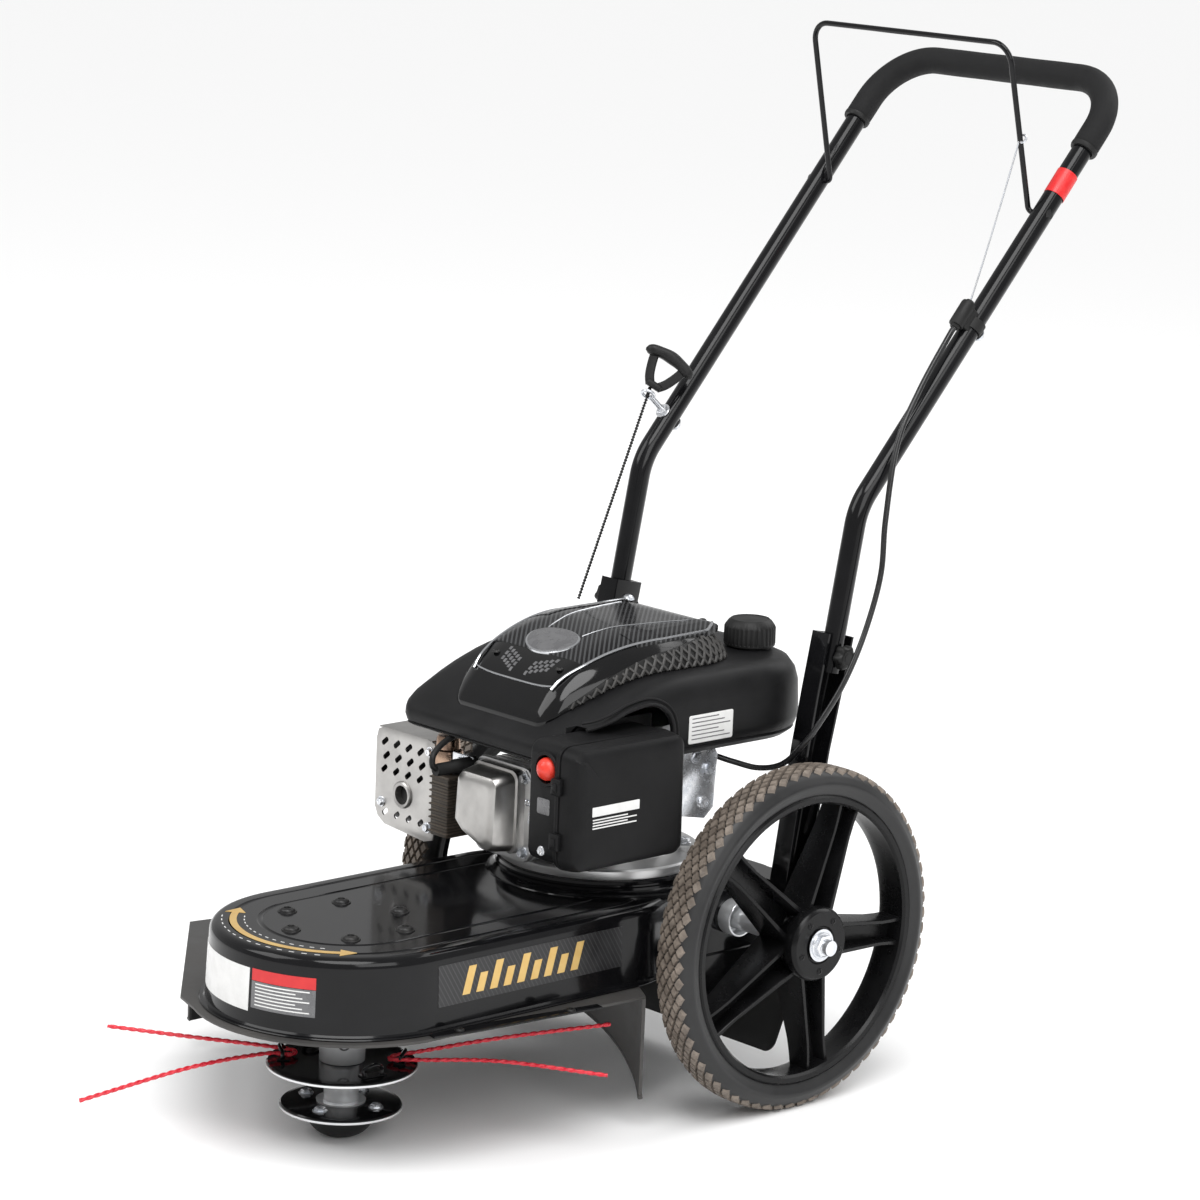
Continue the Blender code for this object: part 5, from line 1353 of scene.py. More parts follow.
@dataclass
class AirBox:
    """The air filter's base, removable cover with clips, labels and the primer bulb."""

    front: float = 0.1345
    rear: float = 0.2845
    low: float = 0.2808
    high: float = 0.4055
    split: float = 0.1513
    face: float = 0.18
    bulb: tuple = (0.131, 0.379)

    def build(self) -> None:
        """Make the box, its cover, labels, clips and bulb."""
        base = box((0.106, self.front + 0.004, self.low + 0.003), (0.1505, self.rear - 0.002,
            self.high - 0.0015), 0.003, Axis.X, 4, 0.012)
        lip = box((0.1465, self.front + 0.001, self.low + 0.0008), (0.151, self.rear - 0.0004,
            self.high - 0.0003), 0.001, Axis.X, 5, 0.013)
        base_piece = piece("filter_base", base + lip, BOX_PLASTIC, "air_filter_base")
        well = revolve(mm2(0, 130, 13.6, 130, 13.6, 150, 0, 150), Axis.Y,
            segments=40).moved((self.bulb[0], 0, self.bulb[1]))
        carved(base_piece, well)
        self.cover()
        self.primer()
        self.clips()

    def cover(self) -> None:
        """Cover: rings of a rounded rectangle that pull in towards a crowned, creased face."""
        mid_y, mid_z = (self.front + self.rear) / 2, (self.low + self.high) / 2
        half_y, half_z = (self.rear - self.front) / 2, (self.high - self.low) / 2
        steps = mm2(151.3, 0, 153, 0, 153.4, 1.2, 155, 1.2, 155.6, 0.2, 164, 1, 172, 2.2, 175.5,
            3.8, 177.5, 6.2, 178.6, 10, 179, 15, 179.2, 26, 179.3, 38)
        rings = []
        for x, cut in steps:
            plan = rounded(half_y - cut, half_z - cut, max(0.0135 - cut * 0.4, 0.004), 8)
            y, z = plan[:, 0] + mid_y, plan[:, 1] + mid_z
            crease = np.clip((z - mid_z) * 0.9 + (y - mid_y) * 0.5 - 0.012, -0.02, 0.02)
            dip = np.where(crease < 0, 0, -0.0022) * (1 if x > 0.175 else 0)
            rings.append(xyz(x + dip, y, z))
        piece("filter_cover", grid(stack(rings)), BOX_PLASTIC, "air_filter_cover", body="air_cover",
            sharp=radians(26))
        strip = block(178.8, 156, 338.5, 179.7, 218, 348, 0.3, Axis.X, 3, 0.8)
        piece("cover_label", strip, LABEL_WHITE, body="air_cover")
        lines = [box((0.1789, 0.157, z), (0.1795, 0.215 - 0.012 * (k % 2), z + 0.0013), 0.0002,
            Axis.X) for k, z in enumerate(linspace(0.326, 0.3345, 4))]
        piece("cover_label_lines", lines, LABEL_WHITE, body="air_cover")
        small = box((0.119, self.front + 0.0034, 0.333), (0.137, self.front + 0.0042, 0.349),
            0.0003, Axis.Y, 3, 0.002)
        piece("panel_label", small, LABEL_GREY)

    def primer(self) -> None:
        """Primer bulb: a dome whose radius follows a quarter circle, in a ringed seat."""
        x, z = self.bulb
        t = linspace(0, pi / 2, 9)
        dome = [(0.0116 * cos(a), 0.1395 - 0.0108 * sin(a)) for a in t]
        shape = mm2(0, 145.5, 12, 145.5, 12, 140.5) + dome[:-1] + [(0, dome[-1][1])]
        piece("primer_dome", revolve(shape, Axis.Y, segments=40).moved((x, 0, z)), RED_RUBBER,
            "primer_bulb", body="primer", sharp=radians(50))
        ring = revolve(mm2(13.7, 137.2, 14.2, 136.2, 16.8, 136.2, 17.5, 137.2, 17.5, 139.2, 13.7,
            139.2), Axis.Y, segments=48, loop=True)
        piece("primer_seat", ring.moved((x, 0, z)), BOX_PLASTIC)

    def clips(self) -> None:
        """Latches that straddle the joint at the front and at the back."""
        parts = []
        for z in (0.3665, 0.3115):
            parts.append(box((0.1465, 0.1292, z - 0.0085), (0.159, 0.1352, z + 0.0085), 0.0016,
                Axis.Y, 3))
            parts.append(box((0.15, 0.1276, z - 0.004), (0.156, 0.13, z + 0.004), 0.001, Axis.Y, 3))
        piece("cover_latches", parts, BOX_PLASTIC, body="air_cover")
        screw = hex_head((0.127, 0.1385, 0.296), (0, -1, 0), 0.0036, 0.003)
        piece("panel_screw", screw, ZINC)


@dataclass
class Hood:
    """The blower housing, its filter arch, the top cover with vents, the tank and its cap."""

    front_round: float = 0.02
    arch_x: float = 0.1048

    def ring(self, half: float, front: float, rear: float, z: float, share: float,
            cut: float = 0.0) -> ndarray:
        """One level of the hood: round front corners, a wide round back, a drooping front."""
        half, front, rear = half - cut, front + cut, rear - cut
        small = self.front_round
        wide = min(0.075, 0.8 * half, 0.6 * (rear - front))
        t = linspace(0, pi / 2, 10)
        right_front = xyz(half - small + small * np.sin(t), front + small - small * np.cos(t))
        right_rear = xyz(half - wide + wide * np.cos(t), rear - wide + wide * np.sin(t))
        span = spaced(14)[1:-1, None]
        side = right_front[-1] + (right_rear[0] - right_front[-1]) * span
        right = vstack([right_front, side, right_rear])
        plan = vstack([right, right[::-1] * (-1, 1)])
        drop = share * 0.055 * (maximum(0.33 - plan[:, 1], 0) / 0.155) ** 2
        return np.column_stack([plan, z - drop])

    def shroud(self) -> None:
        """Housing: rings swept up the outside, over the shoulder, and back down the inside."""
        rows = [(0.13, 0.176, 0.512, 0.368, 0, 0.0022), (0.13, 0.176, 0.512, 0.368, 0, 0), (0.1335,
            0.1735, 0.518, 0.3725, 0.05, 0), (0.1338, 0.1733, 0.518, 0.3745, 0.06, 0.0014), (0.1342,
            0.1731, 0.519, 0.3765, 0.07, 0), (0.1358, 0.172, 0.522, 0.386, 0.14, 0), (0.1358,
            0.1725, 0.521, 0.403, 0.35, 0), (0.1354, 0.174, 0.52, 0.42, 0.6, 0), (0.133, 0.178,
            0.517, 0.433, 0.8, 0), (0.128, 0.184, 0.512, 0.442, 0.94, 0), (0.1215, 0.194, 0.503,
            0.4465, 0.98, 0), (0.114, 0.205, 0.492, 0.448, 1, 0), (0.09, 0.25, 0.465, 0.4485, 1, 0),
            (0.076, 0.3, 0.44, 0.449, 1, 0)]
        inner = [(h, f, r, z - 0.003, s, 0.0026) for h, f, r, z, s, _ in rows[:4:-1]]
        rings = [self.ring(*row) for row in rows + inner]
        rings.append(self.ring(0.13, 0.176, 0.512, 0.368, 0, 0.0026))
        hood = piece("engine_hood", grid(stack(rings), loop=True), HOOD_PLASTIC, "blower_housing",
            sharp=radians(38))
        carved(hood, self.arch_cutter(0), radians(38))
        self.arch_rim()
        label = block(135.2, 323, 379, 136.2, 384, 408, 0.4, Axis.X, 3, 2)
        piece("hood_label", label, LABEL_WHITE)
        lines = [box((0.1355, 0.327, z), (0.1364, 0.38 - 0.008 * (k % 3), z + 0.0012), 0.0002,
            Axis.X) for k, z in enumerate(linspace(0.383, 0.404, 6))]
        piece("hood_label_lines", lines, LABEL_GREY)

    def arch_line(self, grow: float) -> ndarray:
        """The arch over the filter in the Y-Z plane: a smooth curve, offset along its normal."""
        knots = mm3(302, 330, 0, 301, 380, 0, 296, 409, 0, 276, 423.5, 0, 248, 421.5, 0, 220, 413,
            0, 195, 408, 0, 170, 407.2, 0, 100, 407, 0)
        line = smooth(knots, 60)[:, :2]
        way = np.gradient(line, axis=0)
        way /= np.linalg.norm(way, axis=1, keepdims=True)
        return line + grow * xyz(way[:, 1], -way[:, 0])

    def arch_cutter(self, grow: float) -> Surface:
        """A block with the arch's outline, from the arch's plane outward."""
        line = self.arch_line(grow)
        outline = vstack([[(0.1, 0.33)], line])
        return plate(outline, self.arch_x, 0.2, Axis.X, 0.0002, 1)

    def arch_rim(self) -> None:
        """Two raised beads that follow the arch on the hood's side, and the wall inside it."""
        parts = []
        for grow, radius in ((0.0024, 0.0022), (0.0078, 0.0013)):
            line = self.arch_line(grow)
            keep = line[(line[:, 0] > 0.19) & (line[:, 1] > 0.374)]
            level = keep[:, 1] + 0.055 * (maximum(0.33 - keep[:, 0], 0) / 0.155) ** 2 * 0.7
            lean = interp(level, [0.372, 0.386, 0.42, 0.433, 0.442, 0.4465], [0.1335, 0.1358,
                0.1354, 0.133, 0.128, 0.1215])
            path = np.column_stack([lean + 0.0002, keep])
            parts.append(sweep(divided(path, 0.004), circle(radius, 10), (1, 0, 0)))
        piece("arch_beads", parts, HOOD_PLASTIC)
        wall = box((self.arch_x - 0.0025, 0.186, 0.372), (self.arch_x, 0.301, 0.409), 0.0008,
            Axis.X)
        piece("arch_wall", wall, HOOD_PLASTIC)

    def top_ring(self, half: float, front: float, rear: float, z: float) -> ndarray:
        """One level of the top cover, on the hood's droop, drawn in towards its front."""
        ring = self.ring(half, front, rear, z, 1)
        return ring * xyz(self.taper(ring[:, 1]), 1 + 0 * ring[:, 1], 1 + 0 * ring[:, 1])

    def taper(self, y: ndarray) -> ndarray:
        """Share of its full width that the top cover keeps at each Y."""
        return interp(y, [0.185, 0.24, 0.33], [0.66, 0.84, 1])

    def top(self) -> None:
        """Top cover: a glossy front, a woven crown, silver trims, vents, a badge and screws."""
        rows = [(0.104, 0.188, 0.444, 0.4455), (0.1046, 0.1875, 0.4445, 0.449), (0.104, 0.188,
            0.444, 0.451), (0.103, 0.1895, 0.4435, 0.4545), (0.099, 0.194, 0.441, 0.46), (0.0925,
            0.203, 0.4375, 0.467), (0.084, 0.214, 0.432, 0.473), (0.074, 0.236, 0.424, 0.477),
            (0.062, 0.262, 0.414, 0.4798), (0.054, 0.285, 0.405, 0.481), (0.045, 0.31, 0.395,
            0.4818), (0.025, 0.335, 0.375, 0.482)]
        rings = stack([self.top_ring(*row) for row in rows])
        piece("hood_top", grid(rings), COVER_GLOSS, "top_cover", sharp=radians(35))
        self.weave()
        self.trims()
        self.vents()

    def crown(self, share: ndarray, y: ndarray, lift: float) -> ndarray:
        """Points on the top cover's crown: X by share of the half width at each Y."""
        half = interp(y, [0.188, 0.214, 0.262, 0.31, 0.395, 0.414, 0.432, 0.441], [0.086, 0.09,
            0.094, 0.095, 0.092, 0.086, 0.07, 0.045])
        x = share * half
        inward = maximum(np.abs(x) / 0.104, 0)
        height = interp(inward, [0, 0.45, 0.6, 0.71, 0.81, 0.89, 0.95, 1], [0.482, 0.4817, 0.4797,
            0.4768, 0.473, 0.467, 0.46, 0.451])
        fore = interp(y, [0.1895, 0.194, 0.203, 0.214, 0.236, 0.262, 0.31], [0.4545, 0.46, 0.467,
            0.473, 0.477, 0.4798, 0.482])
        aft = interp(y, [0.395, 0.405, 0.414, 0.424, 0.432, 0.4375, 0.441], [0.482, 0.481, 0.4797,
            0.4768, 0.473, 0.467, 0.46])
        drop = 0.055 * (maximum(0.33 - y, 0) / 0.155) ** 2
        return xyz(x * self.taper(y + 0 * x), y + 0 * x, np.minimum(np.minimum(height, fore),
            aft) - drop + lift)

    def patch(self, shares: tuple, ys: tuple, lift: float, thick: float,
            steps: int = 30) -> Surface:
        """A thin closed patch of the crown between two shares and two depths."""
        s = linspace(shares[0], shares[1], steps)[None, :]
        y = linspace(ys[0], ys[1], steps)[:, None]
        upper = self.crown(s + 0 * y, y + 0 * s, lift)
        lower = self.crown(s + 0 * y, y + 0 * s, lift - thick)
        return layered(upper, lower)

    def weave(self) -> None:
        """Woven-look panel over the crown, with a raised strip on each shoulder."""
        piece("woven_panel", self.patch((-0.86, 0.86), (0.24, 0.424), 0.0008, 0.004), COVER_WEAVE,
            sharp=radians(40))
        parts = self.patch((-0.9, -0.6), (0.3, 0.418), 0.0016, 0.004)
        parts += self.patch((0.6, 0.9), (0.3, 0.418), 0.0016, 0.004)
        piece("shoulder_panels", parts, COVER_WEAVE, sharp=radians(40))

    def trims(self) -> None:
        """Silver lines along both sides and the front edge, a blank badge and screws."""
        lines = []
        for side in (1, -1):
            y = linspace(0.206, 0.42, 60)
            share = side * interp(y, [0.206, 0.262, 0.4, 0.42], [0.9, 0.86, 0.86, 0.78])
            lines.append(sweep(self.crown(share, y, 0.0012), circle(0.0016, 8), (0, 0, 1)))
        t = linspace(-0.86, 0.86, 50)
        front = self.crown(t, 0.2065 + 0.004 * t ** 4, 0.001)
        lines.append(sweep(front, circle(0.0009, 8), (0, 0, 1)))
        for share in (0.3, -0.3):
            y = linspace(0.275, 0.4, 40)
            way = share * (1 + 0.9 * (y - 0.275) / 0.125)
            lines.append(sweep(self.crown(way, y, 0.001), circle(0.0007, 6), (0, 0, 1)))
        piece("silver_lines", lines, CHROME_TRIM)
        self.badge("badge_rim", 1, 0.0022, CHROME_TRIM)
        self.badge("blank_badge", 0.93, 0.003, LABEL_GREY)
        screws = [dome_head(tuple(self.crown(array(s), array(y), 0.0004)), (0, 0, 1), 0.0042,
            0.0022) for s, y in mm2(660, 226, -660, 226, 620, 418, -620, 418)]
        piece("top_screws", screws, DARK_STEEL)

    def badge(self, name: str, size: float, lift: float, finish: Finish) -> None:
        """A blank oval laid on the crown: rings of an ellipse that rise, then close."""
        t = TAU * arange(48) / 48
        rings = [self.crown(0.42 * k * size * np.cos(t), 0.258 + 0.0205 * k * size * np.sin(t), z)
            for k, z in ((1, -0.002), (1, lift - 0.0006), (0.96, lift), (0.3, lift))]
        piece(name, grid(stack(rings)), finish)

    def flank(self, y: ndarray, z: ndarray, lift: float) -> ndarray:
        """Points on the top cover's side: its half width less the round of its rear corner."""
        half = interp(z, [0.4455, 0.449, 0.4545, 0.46, 0.467, 0.473, 0.477], [0.104, 0.1046, 0.103,
            0.099, 0.0925, 0.084, 0.074])
        rear = interp(z, [0.451, 0.46, 0.467, 0.473, 0.477], [0.444, 0.441, 0.4375, 0.432, 0.424])
        wide = np.minimum(0.075, 0.8 * half)
        past = np.clip(y - (rear - wide), 0, wide * 0.99)
        x = half - (wide - np.sqrt(wide ** 2 - past ** 2)) + lift
        drop = 0.055 * (maximum(0.33 - y, 0) / 0.155) ** 2
        return xyz(x * self.taper(y + 0 * x), y + 0 * x, z - drop)

    def vents(self) -> None:
        """Slot groups on the crown and a diamond lattice let into each side."""
        slots = [self.patch((side * (0.14 + 0.075 * i), side * (0.19 + 0.075 * i)), (y + 0.0022 * i,
            y + 0.0022 * i + 0.0034), 0.0006, 0.0012, 3) for side in (1,
            -1) for i in range(5) for y in (0.212, 0.218, 0.224)]
        piece("vent_slots", slots, LABEL_GREY)
        u = spaced(60)[:, None]
        v = spaced(8)[None, :]
        y, z = 0.212 + 0.208 * u + 0 * v, 0.4492 + v * (0.004 + 0.0232 * u)
        back = layered(self.flank(y, z, 0.0005), self.flank(y, z, -0.0015))
        wires = []
        for way in (1, -1):
            for start in arange(0.192, 0.444, 0.0108):
                z = linspace(0.4492, 0.4764, 14)
                y = start + way * (z - 0.461) * 0.85
                high = 0.4532 + 0.0232 * (y - 0.212) / 0.208
                keep = (y > 0.213) & (y < 0.42) & (z < high)
                if keep.sum() > 2:
                    path = self.flank(y[keep], z[keep], 0.0012)
                    wires.append(sweep(path, circle(0.0017, 6), (1, 0, 0)))
        lattice = joined(wires)
        for name, side in SIDES:
            piece(f"{name}_grille_back", back.sided(side), BLACK_RUBBER)
            piece(f"{name}_grille", lattice.sided(side), GUARD_PLASTIC)

    def tank(self) -> None:
        """The tank behind the top cover with its neck, and a ribbed cap."""
        body = block(-92, 427, 372, 92, 494, 438, 10, Axis.Z, 5, 28)
        neck = revolve(mm2(0, 430, 23.5, 430, 22.5, 452, 0, 452), centre=(0.064, 0.474, 0),
            segments=40)
        piece("petrol_tank", body + neck, BOX_PLASTIC, "fuel_tank")
        t = TAU * arange(108)[None, :] / 108
        rib = 0.5 + 0.5 * np.cos(36 * t)
        shape = array([(0, 0.45, 0), (0.0255, 0.45, 0), (0.0265, 0.4508, 0), (0.0265, 0.4525, 0),
            (0.0258, 0.453, 1), (0.0256, 0.469, 1), (0.0248, 0.4715, 0.6), (0.0225, 0.4755, 0),
            (0.02, 0.4775, 0), (0.019, 0.4768, 0), (0.012, 0.477, 0), (0, 0.4772, 0)])
        radius = shape[:, :1] + 0.0011 * rib * shape[:, 2:]
        points = xyz(0.064 + radius * np.cos(t), 0.474 + radius * np.sin(t), shape[:, 1:2] + 0 * t)
        piece("petrol_cap", grid(points), BLACK_RUBBER, "fuel_cap", body="fuel_cap")

    def build(self) -> None:
        """Make the hood and everything on it."""
        self.shroud()
        self.top()
        self.tank()


# Handle
@dataclass
class Handle:
    """The folding handle: bent tube, foam grip, bail, cable fittings and pivot hardware."""

    tube: float = 0.011
    foam: float = 0.0145
    bail_rod: float = 0.003
    wire: float = 0.0009

    def tube_path(self) -> ndarray:
        """Centre line of the bent tube, from one pivot over the top to the other."""
        foot = PIVOT - LOWER_LEG * 0.018
        corners = [foot + (0.1605, 0, 0), BEND + (0.16, 0, 0), TOP + (0.165, 0, 0), TOP - (0.165, 0,
            0), BEND - (0.16, 0, 0), foot - (0.1605, 0, 0)]
        return divided(filleted(corners, [0.07, 0.062, 0.062, 0.07], 16), 0.02)

    def build(self) -> None:
        """Make the handle's pieces."""
        path = self.tube_path()
        piece("bent_tube", sweep(path, circle(self.tube, 28), tuple(LEG_FRONT)), POWDER_COAT,
            "handle_tube", body="handle")
        self.grip()
        self.bail()
        self.fittings()
        self.cables()
        self.starter()
        for name, side in SIDES:
            self.pivot(name, side)

    def grip(self) -> None:
        """Foam: a round section whose ends roll in, with a faint wave along its length."""
        drop = LEG * 0.09
        corners = [TOP - drop + (0.165, 0, 0), TOP + (0.165, 0, 0), TOP - (0.165, 0, 0),
            TOP - drop - (0.165, 0, 0)]
        path = divided(filleted(corners, [0.062, 0.062], 20), 0.006)
        run = travelled(path)
        edge = np.minimum(run, run[-1] - run)
        scale = np.sqrt(np.clip(1 - (1 - np.clip(edge / 0.0035, 0, 1)) ** 2, 0, 1))
        scale = 0.8 + 0.2 * scale + 0.006 * np.sin(run * 90)
        piece("foam_sleeve", sweep(path, circle(self.foam, 32), tuple(LEG_FRONT), scale), FOAM,
            "grip_foam", body="handle")
        collars = []
        for side in (1, -1):
            at = TOP - drop * 0.985 + (0.165 * side, 0, 0)
            ring = revolve(mm2(11.2, -3, 14.2, -3, 15, -1, 15, 2, 11.2, 3), segments=32, loop=True)
            collars.append(ring.aimed(LEG, at))
        piece("foam_collars", collars, BLACK_RUBBER, body="handle")
        band = revolve(mm2(11.2, -15, 11.7, -14.8, 11.7, 14.8, 11.2, 15), segments=36, loop=True)
        at = TOP - LEG * 0.1375 + (0.164, 0, 0)
        piece("red_band", band.aimed(LEG, at), RED_TAPE, body="handle")

    def bail(self) -> None:
        """Bail rod: a round section through five straight runs and four tight bends."""
        corners = [BAIL_PIVOT + (0.171, 0, 0), BAIL_PIVOT + (0.1445, 0, 0), BAIL_TOP + (0.1415, 0,
            0), BAIL_TOP - (0.1415, 0, 0), BAIL_PIVOT - (0.1445, 0, 0), BAIL_PIVOT - (0.171, 0, 0)]
        path = divided(filleted(corners, [0.006, 0.022, 0.022, 0.006], 10), 0.012)
        up = BAIL_TOP - BAIL_PIVOT
        normal = np.cross((1, 0, 0), unit(up))
        piece("bail_rod", sweep(path, circle(self.bail_rod, 16), tuple(normal)), POWDER_COAT,
            "bail", body="bail")
        eyes = []
        for side in (1, -1):
            eye = revolve(mm2(0, 11, 5.2, 11, 5.6, 12.5, 0, 13.2),
                segments=24).turned(facing(array([side, 0, 0])))
            eyes.append(eye.moved(BAIL_PIVOT + (0.1615 * side, 0, 0)))
        piece("bail_caps", eyes, DARK_STEEL, body="handle")

    def fittings(self) -> None:
        """Cable clip, rope guide with its eye, and the clip's bolt."""
        clip = array([0.1622, 0, 0]) + BEND + LEG * 0.232 + LEG_FRONT * 0.0205
        barrel = revolve(mm2(0, -17.5, 4.8, -17.5, 5.6, -15, 7.6, -14.5, 8, -13, 8, 12, 7.4, 14.2,
            5.4, 15, 4.2, 17, 0, 17), segments=28)
        saddle = block(-7.5, -17, -12, 7.5, -3, 12, 2.5, Axis.Z, 4)
        turn = array([(1, 0, 0), LEG_FRONT, LEG]).T
        body = barrel.turned(facing(LEG)) + saddle.turned(turn)
        strap = revolve(mm2(11.3, -6, 12.8, -6, 12.8, 6, 11.3, 6), segments=36,
            loop=True).turned(facing(LEG))
        at = clip - LEG_FRONT * 0.0205
        piece("clip_body", body.moved(clip) + strap.moved(at), BLACK_RUBBER, "cable_clip",
            body="handle")
        foot = BEND + LEG * 0.055 - (0.161, 0, 0)
        arm = block(-4, -1.5, -13, 4, 1.5, 13, 1.2, Axis.Y, 3)
        arm_turn = array([(1, 0, 0), LEG, LEG_FRONT]).T
        shank = revolve(mm2(0, -14, 3.2, -14, 3.2, 20, 0, 20),
            segments=20).turned(facing(LEG_FRONT))
        nut = hex_head(tuple(foot + LEG_FRONT * 0.0112), tuple(LEG_FRONT), 0.0062, 0.0052)
        eye_at = foot + LEG_FRONT * 0.042
        t = TAU * arange(36) / 36
        a, b = facing(PULL)[:, 0], facing(PULL)[:, 1]
        ring_path = eye_at + 0.0064 * (np.cos(t)[:, None] * a + np.sin(t)[:, None] * b)
        outward = (ring_path - eye_at) / 0.0064
        u = TAU * arange(12) / 12
        torus = (ring_path[:, None] + 0.0018 * (np.cos(u)[None, :, None] * outward[:, None]
            + np.sin(u)[None, :, None] * PULL))
        eye = grid(torus, loop=True, caps=False)
        far_nut = hex_head(tuple(foot - LEG_FRONT * 0.0112), tuple(-LEG_FRONT), 0.006, 0.0062)
        clip_bolt = hex_head(tuple(at - LEG_FRONT * 0.0126 - LEG * 0.001), tuple(-LEG_FRONT),
            0.0056, 0.0055)
        piece("handle_bolts", far_nut + clip_bolt, ZINC, body="handle")
        guide = joined([arm.turned(arm_turn).moved(foot + LEG_FRONT * 0.0245),
            shank.moved(foot + LEG_FRONT * 0.0165), nut, eye])
        piece("rope_eye", guide, ZINC, "rope_guide", body="handle")

    def cables(self) -> None:
        """Control cable sleeve and the bare wire to the bail, hooked at its end."""
        clip = array([0.1622, 0, 0]) + BEND + LEG * 0.232 + LEG_FRONT * 0.0205
        foot = clip - LEG * 0.017
        knots = [foot, foot - LEG * 0.012, (0.172, 0.593, 0.721), (0.18, 0.556, 0.67), (0.188,
            0.536, 0.595), (0.193, 0.528, 0.54), (0.195, 0.508, 0.485), (0.195, 0.483, 0.438),
            (0.187, 0.462, 0.4), (0.175, 0.448, 0.371), (0.154, 0.44, 0.347), (0.13, 0.43, 0.339),
            (0.108, 0.415, 0.343), (0.088, 0.39, 0.352), (0.076, 0.36, 0.354)]
        path = smooth(knots, 160)
        sleeve = piece("cable_sleeve_tube", sweep(path, circle(0.003, 14), (0.8, -0.3, 0.1)),
            CABLE_SLEEVE, "control_cable", body="")
        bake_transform(sleeve)
        start = clip + LEG * 0.0165
        end = BAIL_PIVOT + (BAIL_TOP - BAIL_PIVOT) * 0.44 + (0.143, 0, 0)
        t = spaced(24)[:, None]
        wire = start + (end - start) * t + (0, 0, -0.004) * (4 * t * (1 - t))
        hook_t = linspace(0, 1.6 * pi, 18)[:, None]
        along = unit(end - start)
        hook = end + along * 0.0042 * np.sin(hook_t) + array([1, 0,
            0]) * 0.0042 * (1 - np.cos(hook_t))
        parts = sweep(wire, circle(self.wire, 8), (1, 0, 0))
        parts += sweep(hook, circle(0.0013, 8), tuple(np.cross(along, (1, 0, 0))))
        wire_piece = piece("bare_wire", parts, ZINC, "bail_wire", body="")
        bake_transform(wire_piece)

    def starter(self) -> None:
        """Starter rope with a braided section, its knot stub, and a D-shaped pull grip."""
        foot = BEND + LEG * 0.055 - (0.161, 0, 0)
        eye = foot + LEG_FRONT * 0.042
        outlet = array([-0.099, 0.383, 0.479])
        t = spaced(70)[:, None]
        end = eye - PULL * 0.004
        rope = outlet + (end - outlet) * t
        run = piece("rope_run", sweep(rope, lobed(0.0021, 3, 0.22, 15), (1, 0, 0), 1, 700),
            BLACK_CORD, "starter_rope", body="", sharp=radians(70))
        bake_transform(run)
        stub = (eye - PULL * 0.0035) + (PULL * 0.0115) * spaced(24)[:, None]
        paid_out = piece("rope_stub", sweep(stub, circle(0.002, 12), (1, 0, 0)), BLACK_CORD,
            "rope_end", body="")
        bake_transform(paid_out)
        lean = unit(array([0.2, 0.53, 0.82]))
        along = array([0.557, 0.369, -0.745])
        along = unit(along - lean * (along @ lean))
        turn = array([along, np.cross(lean, along), lean]).T
        s = linspace(-1, 1, 25)
        size = np.sqrt(np.clip(1 - np.abs(s) ** 6, 0.03, 1)) * (0.94 + 0.06 * np.cos(s * 7))
        bar_path = xyz(0.029 * s, 0 * s, 0.046 - 0.007 * s ** 2)
        bar = sweep(bar_path, rounded(0.0085, 0.0068, 0.0055, 5), (0, 0, 1), size)
        legs = [sweep(smooth([(0.004 * w, 0, 0.01), (0.01 * w, 0, 0.018), (0.015 * w, 0, 0.03),
            (0.0185 * w, 0, 0.042)], 14), rounded(0.005, 0.0032, 0.0022, 4), (0, 1, 0)) for w in (1,
            -1)]
        foot_block = block(-9, -6.5, 7.5, 9, 6.5, 15, 3, Axis.Z)
        grip = joined([bar, foot_block] + legs).turned(turn)
        piece("pull_grip", grip.moved(eye), BLACK_RUBBER, "starter_grip", body="starter")

    def pivot(self, name: str, side: float) -> None:
        """One folding joint: carriage bolt and a lobed knob with its cap."""
        at = array([0, PIVOT[1], PIVOT[2]])
        bolt = revolve(mm2(0, 138.8, 4.5, 139.2, 7, 141.2, 7.6, 143.6, 7.6, 145.3, 4, 145.3, 4, 180,
            0, 180), Axis.X, (0, at[1], at[2]), 28)
        piece(f"{name}_fold_bolt", bolt.sided(side), ZINC, f"{name}_pivot_bolt")
        t = TAU * arange(72)[None, :] / 72
        shape = array([(0.0043, 0.1725, 0), (0.0085, 0.1725, 0), (0.0098, 0.174, 0.2), (0.0118,
            0.1752, 1), (0.012, 0.1765, 1), (0.012, 0.1815, 1), (0.0114, 0.1832, 1), (0.0098,
            0.1846, 0.5), (0.0075, 0.185, 0), (0.0068, 0.1843, 0), (0.0043, 0.1843, 0)])
        radius = shape[:, :1] + 0.0012 * shape[:, 2:] * np.cos(6 * t)
        ring = xyz(shape[:, 1:2] + 0 * t, at[1] + radius * np.cos(t), at[2] + radius * np.sin(t))
        knob = grid(ring, loop=True, caps=False)
        cap = revolve(mm2(0, 180.6, 4.6, 180.6, 4.6, 184.6, 0, 184.8), Axis.X, (0, at[1], at[2]),
            24)
        piece(f"{name}_lobed_knob", (knob + cap).sided(side), BLACK_RUBBER, f"{name}_knob",
            body=f"{name}_knob")


